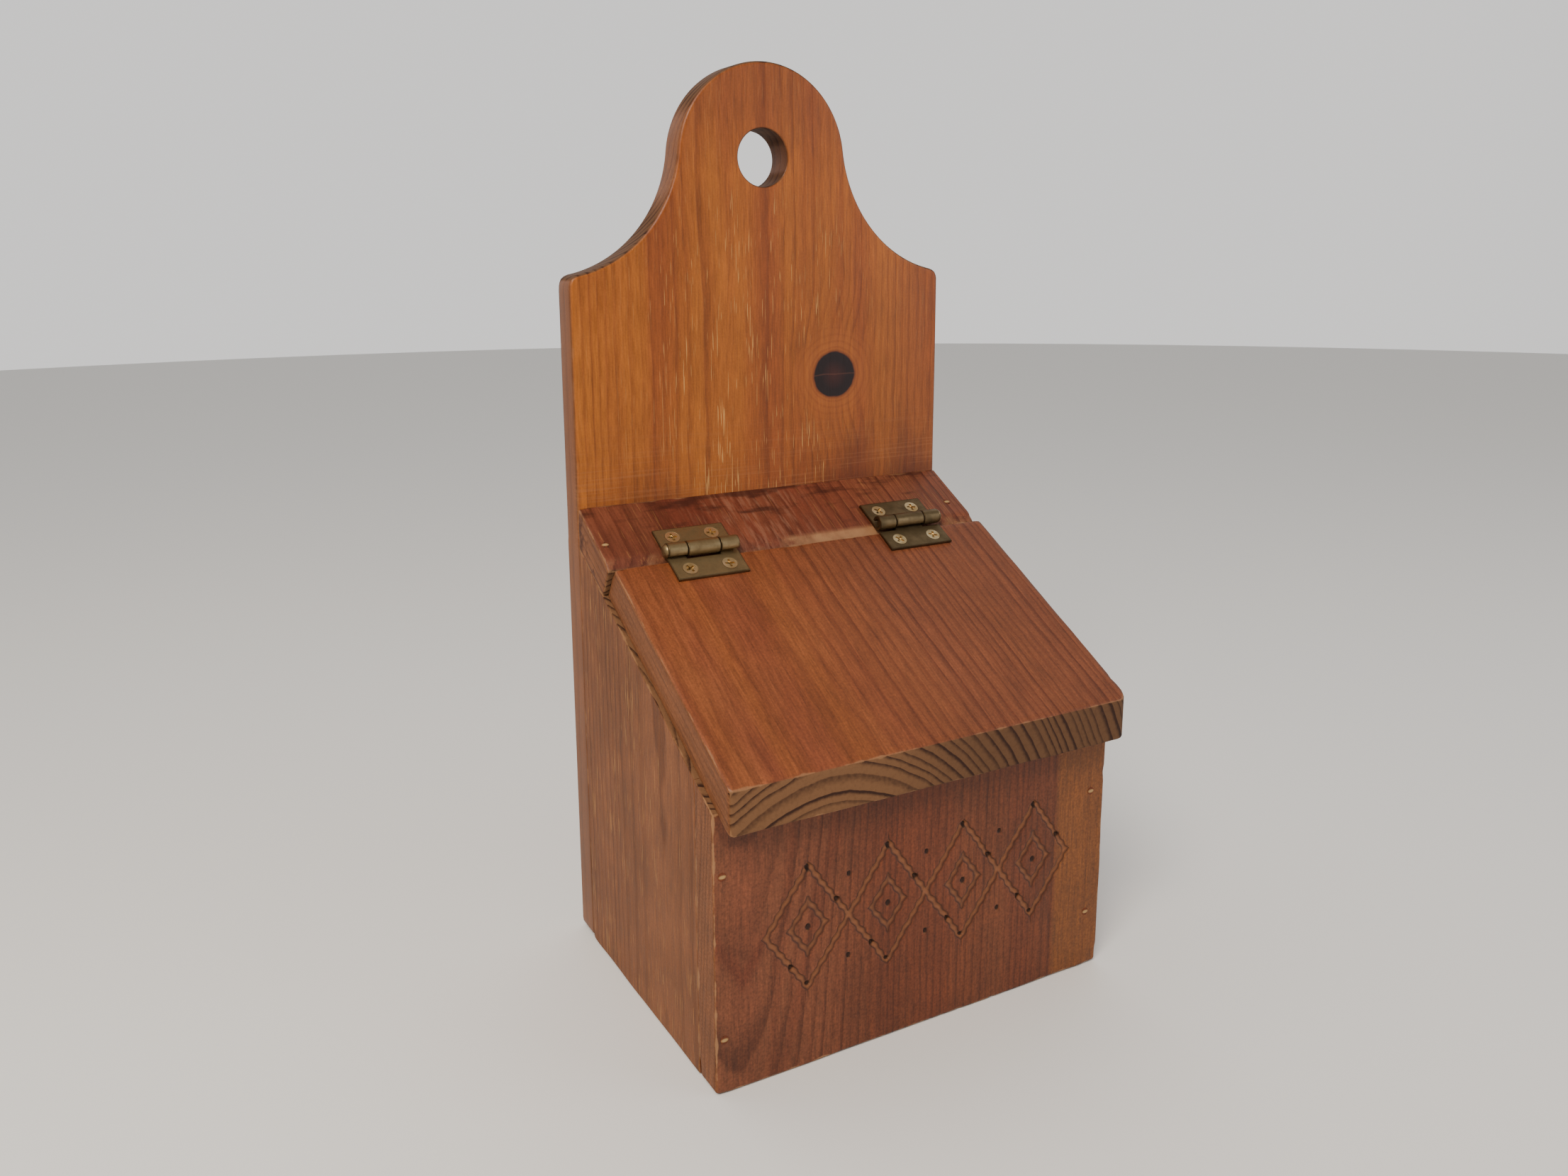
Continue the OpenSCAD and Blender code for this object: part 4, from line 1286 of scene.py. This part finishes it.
class SALTBOX_OT_hinge_pins(bpy.types.Operator):
    """Makes the two hinge pins with their domed heads"""
    bl_idname = "salt_box.hinge_pins"
    bl_label = "Hinge pins"

    def execute(self, context):
        r = sizes().pin_diameter / 2
        for side, head in (("left", -1), ("right", 1)):
            # Drawn brass wire, a little brighter than the sheet because it rubs in the knuckles
            brass = metal(f"Aged brass wire, {side}", *hinge_brass(side), 0.44, 0.3)
            half = hinge_middle(side)[1]
            # The tip is rounded, and the head is a dome that is higher than a nail's
            tip = [(0, 0.8), (r * 0.75, 0.8), (r * 0.94, 0.95), (r, 1.2)]
            dome = [(r, 0), (r, 0.05), (2.16, 0.05), (2.28, 0.2), (2.22, 0.45), (1.95, 0.8),
                    (1.5, 1.08), (0.9, 1.27), (0.3, 1.34), (0, 1.35)]
            profile = [(a, h - half) for a, h in tip] + [(a, half + h) for a, h in dome]
            points, faces = turned_form(profile, 40)
            points = np.column_stack([points[:, 2] * head, points[:, 1] * head, points[:, 0]])
            piece = make_piece(f"hinge_{side}_pin_brass", at_hinge(side, points), faces)
            settle(piece, "box", [f"hinge_{side}_pin"], brass)
        return {"FINISHED"}


class SALTBOX_OT_hinge_screws(bpy.types.Operator):
    """Makes the eight brass screws that hold the hinges"""
    bl_idname = "salt_box.hinge_screws"
    bl_label = "Hinge screws"

    def execute(self, context):
        size, c = sizes(), colours()
        # Turned brass screws, brighter than the leaves because drivers have scraped them
        brass = metal("Worn brass screw", c.screw, c.screw_dull, c.grime, 0.36, 0.2)
        wanted = {"Length": size.screw_length / 1000, "Head radius": size.screw_head / 2000,
                  "Shank radius": size.screw_shank / 2000}
        leaves = [(side, leaf) for side in ("left", "right") for leaf in LEAF_BODY]
        for number, (side, leaf) in enumerate(leaves):
            row = size.screw_row * (1 if leaf == "rail" else -1)
            spots = np.array([(x * size.screw_pitch / 2, row, size.leaf_thickness - Plan.knuckle_r)
                              for x in (-1, 1)])
            piece = fasteners(f"hinge_{side}_{leaf}_screws_brass", at_hinge(side, spots),
                              screw_tree, wanted, Plan.slope, 5 + number, brass)
            settle(piece, LEAF_BODY[leaf], [f"hinge_{side}_{leaf}_screws"], brass)
        return {"FINISHED"}


# The nails

class SALTBOX_OT_nails(bpy.types.Operator):
    """Makes the wire nails that hold the boards together"""
    bl_idname = "salt_box.nails"
    bl_label = "Nails"

    def execute(self, context):
        size, c = sizes(), colours()
        # Plain steel wire, dull grey with a little rust where salt has reached it
        steel = metal("Steel wire nail", c.steel, linear("#6f675f"), linear("#5a3a24"), 0.45, 0.6)
        wanted = {"Length": size.nail_length / 1000, "Head radius": size.nail_head / 2000}
        front, rear = Plan.front_y + size.nail_sink, Plan.wall_y - size.nail_sink
        rail_n = Plan.lid_t - size.nail_sink
        rails = [on_slope(np.array(x), s, rail_n) for x, s in RAIL_NAILS]
        groups = (("front_nails", [(x, front, z) for x, z in FRONT_NAILS], math.pi / 2),
                  ("rail_nails", rails, Plan.slope),
                  ("back_nails", [(x, rear, z) for x, z in BACK_NAILS], -math.pi / 2),
                  ("bottom_nails", [(x, rear, z) for x, z in BOTTOM_NAILS], -math.pi / 2))
        for number, (node, spots, lean) in enumerate(groups):
            piece = fasteners(f"{node}_steel", spots, nail_tree, wanted, lean, 20 + number, steel)
            settle(piece, "box", [node], steel)
        return {"FINISHED"}


class SALTBOX_OT_fillers(bpy.types.Operator):
    """Makes the dabs of wood filler over the punched nails"""
    bl_idname = "salt_box.fillers"
    bl_label = "Nail fillers"

    def execute(self, context):
        size, c = sizes(), colours()
        # Light wood filler, matt and a little grainy, shrunk unevenly in its hole
        stained = dict.fromkeys(("early", "deep", "flank", "end"), c.front_deep)
        look = pine_look("side", late=0.3, wear=0.0, roughness=0.8, **stained)
        wood = pine("Wood filler", look, ring=1.1)
        slit = add(wood["tree"], "Attribute", attribute_name="slit", out="Fac")
        wood["layers"] = [(slit, c.filler)]
        filler = finish_pine(wood)
        r, deep = size.nail_head / 2, size.nail_sink
        rings = (1, 0.92, 0.8, 0.66, 0.52, 0.38, 0.24, 0)
        dome = [(r * k, 0.02 + 0.1 * math.sqrt(1 - k * k)) for k in rings]
        dab, faces = turned_form([(0, -deep), (r, -deep)] + dome, 28)
        # The light filler fills only an oval slit, and stain covers the rest of the hole
        oval = 1.35 - np.hypot(dab[:, 0] / (r * 0.8), dab[:, 1] / (r * 0.38))
        slit = np.clip(oval * 1.6, 0, 1) * (dab[:, 2] > -0.1)
        front = [dab[:, [0, 2, 1]] * (1, -1, 1) + (x, Plan.front_y, z) for x, z in FRONT_NAILS]
        rail = [on_slope(dab[:, 0] + x, s + dab[:, 1], Plan.lid_t + dab[:, 2])
                for x, s in RAIL_NAILS]
        for node, places in (("front_nail_fillers", front), ("rail_nail_fillers", rail)):
            points, joined = join_forms([(p, faces) for p in places])
            piece = make_piece(f"{node}_dabs", points, joined,
                               {"slit": np.tile(slit, len(places))})
            settle(piece, "box", [node], filler)
        return {"FINISHED"}


# The stage, in metres

# The camera of the photo, worked out from the box's corners
STANDS_AT = (-0.20955, -0.32941, 0.23465)
LOOKS_ALONG, LOOKS_UP = Vector((0.45398, 0.86889, -0.19732)), Vector((0.10263, 0.16899, 0.98026))
LENS, LENS_SHIFT = 28.08, (0.03409, -0.05357)
# Lights as (name, place, width, power, colour), and the point that they shine on
LIGHTS = (("key_light", (-0.55, -0.5, 0.85), 0.45, 11.0, "#fff4e6"),
          ("fill_light", (0.8, -0.7, 0.45), 0.7, 3.0, "#eef3ff"))
AIM = Vector((0, 0, 0.12))


class SALTBOX_OT_stage(bpy.types.Operator):
    """Makes the floor, the light and the camera"""
    bl_idname = "salt_box.stage"
    bl_label = "Stage"

    def execute(self, context):
        scene = context.scene
        turn = np.linspace(0, 2 * math.pi, 97)[:-1]
        rim = np.column_stack([3 * np.cos(turn), 3 * np.sin(turn), np.full(96, -0.0002)])
        mesh = bpy.data.meshes.new("floor")
        mesh.from_pydata(rim.tolist(), [], [list(range(96))])
        floor = bpy.data.objects.new("floor", mesh)
        bpy.context.collection.objects.link(floor)
        # Plain pale paint, matt, so that only a soft shadow lies on it
        paint = bpy.data.materials.new("Pale floor")
        paint.use_nodes = True
        shader = paint.node_tree.nodes["Principled BSDF"]
        shader.inputs["Base Color"].default_value = colours().floor
        shader.inputs["Roughness"].default_value = 0.7
        mesh.materials.append(paint)
        world = bpy.data.worlds.new("Soft room")
        world.use_nodes = True
        # Brighter behind the box than in front of it, as in a room with a pale wall behind
        sky = world.node_tree.nodes["Background"]
        way = add(world.node_tree, "TexCoord", out="Generated")
        way = add(world.node_tree, "SeparateXYZ", way, out=1)
        way = add(world.node_tree, "MapRange.SMOOTHSTEP", way, -0.3, 0.6, 0.3, 1.15)
        world.node_tree.links.new(way, sky.inputs["Strength"])
        sky.inputs["Color"].default_value = linear("#eeecea")
        scene.world = world
        for name, place, width, power, tint in LIGHTS:
            data = bpy.data.lights.new(name, "AREA")
            data.size = width
            data.energy = power
            data.color = linear(tint)[:3]
            lamp = bpy.data.objects.new(name, data)
            scene.collection.objects.link(lamp)
            aim = (AIM - Vector(place)).to_track_quat("-Z", "Y")
            lamp.matrix_world = Matrix.Translation(place) @ aim.to_matrix().to_4x4()
        data = bpy.data.cameras.new("camera")
        data.lens, data.sensor_width, data.sensor_fit = LENS, 36.0, "HORIZONTAL"
        data.shift_x, data.shift_y = LENS_SHIFT
        camera = bpy.data.objects.new("camera", data)
        scene.collection.objects.link(camera)
        forward, up = LOOKS_ALONG.normalized(), LOOKS_UP.normalized()
        right = forward.cross(up).normalized()
        turn = Matrix((right, right.cross(forward), -forward)).transposed().to_4x4()
        camera.matrix_world = Matrix.Translation(STANDS_AT) @ turn
        scene.camera = camera
        return {"FINISHED"}


OPERATORS = (SALTBOX_OT_back_board, SALTBOX_OT_front_board, SALTBOX_OT_side_boards,
             SALTBOX_OT_bottom_board, SALTBOX_OT_hinge_rail, SALTBOX_OT_lid,
             SALTBOX_OT_hinge_leaves, SALTBOX_OT_hinge_pins, SALTBOX_OT_hinge_screws,
             SALTBOX_OT_nails, SALTBOX_OT_fillers, SALTBOX_OT_stage)


class SALTBOX_PT_panel(bpy.types.Panel):
    """Lists the pieces of the salt box and its sizes and colours"""
    bl_idname = "SALTBOX_PT_panel"
    bl_label = "Salt box"
    bl_space_type = "VIEW_3D"
    bl_region_type = "UI"
    bl_category = "Salt box"

    def draw(self, context):
        layout = self.layout
        for operator in OPERATORS:
            layout.operator(operator.bl_idname)
        for group in (context.scene.salt_box_sizes, context.scene.salt_box_colours):
            box = layout.box()
            for key in group.__annotations__:
                box.prop(group, key)


CLASSES = (SaltBoxSizes, SaltBoxColours, *OPERATORS, SALTBOX_PT_panel)


def register():
    for cls in CLASSES:
        bpy.utils.register_class(cls)
    bpy.types.Scene.salt_box_sizes = PointerProperty(type=SaltBoxSizes)
    bpy.types.Scene.salt_box_colours = PointerProperty(type=SaltBoxColours)


def unregister():
    del bpy.types.Scene.salt_box_colours
    del bpy.types.Scene.salt_box_sizes
    for cls in reversed(CLASSES):
        bpy.utils.unregister_class(cls)


def main():
    register()
    for operator in OPERATORS:
        name = operator.bl_idname.split(".")[1]
        getattr(bpy.ops.salt_box, name)()


if __name__ == "__main__":
    main()
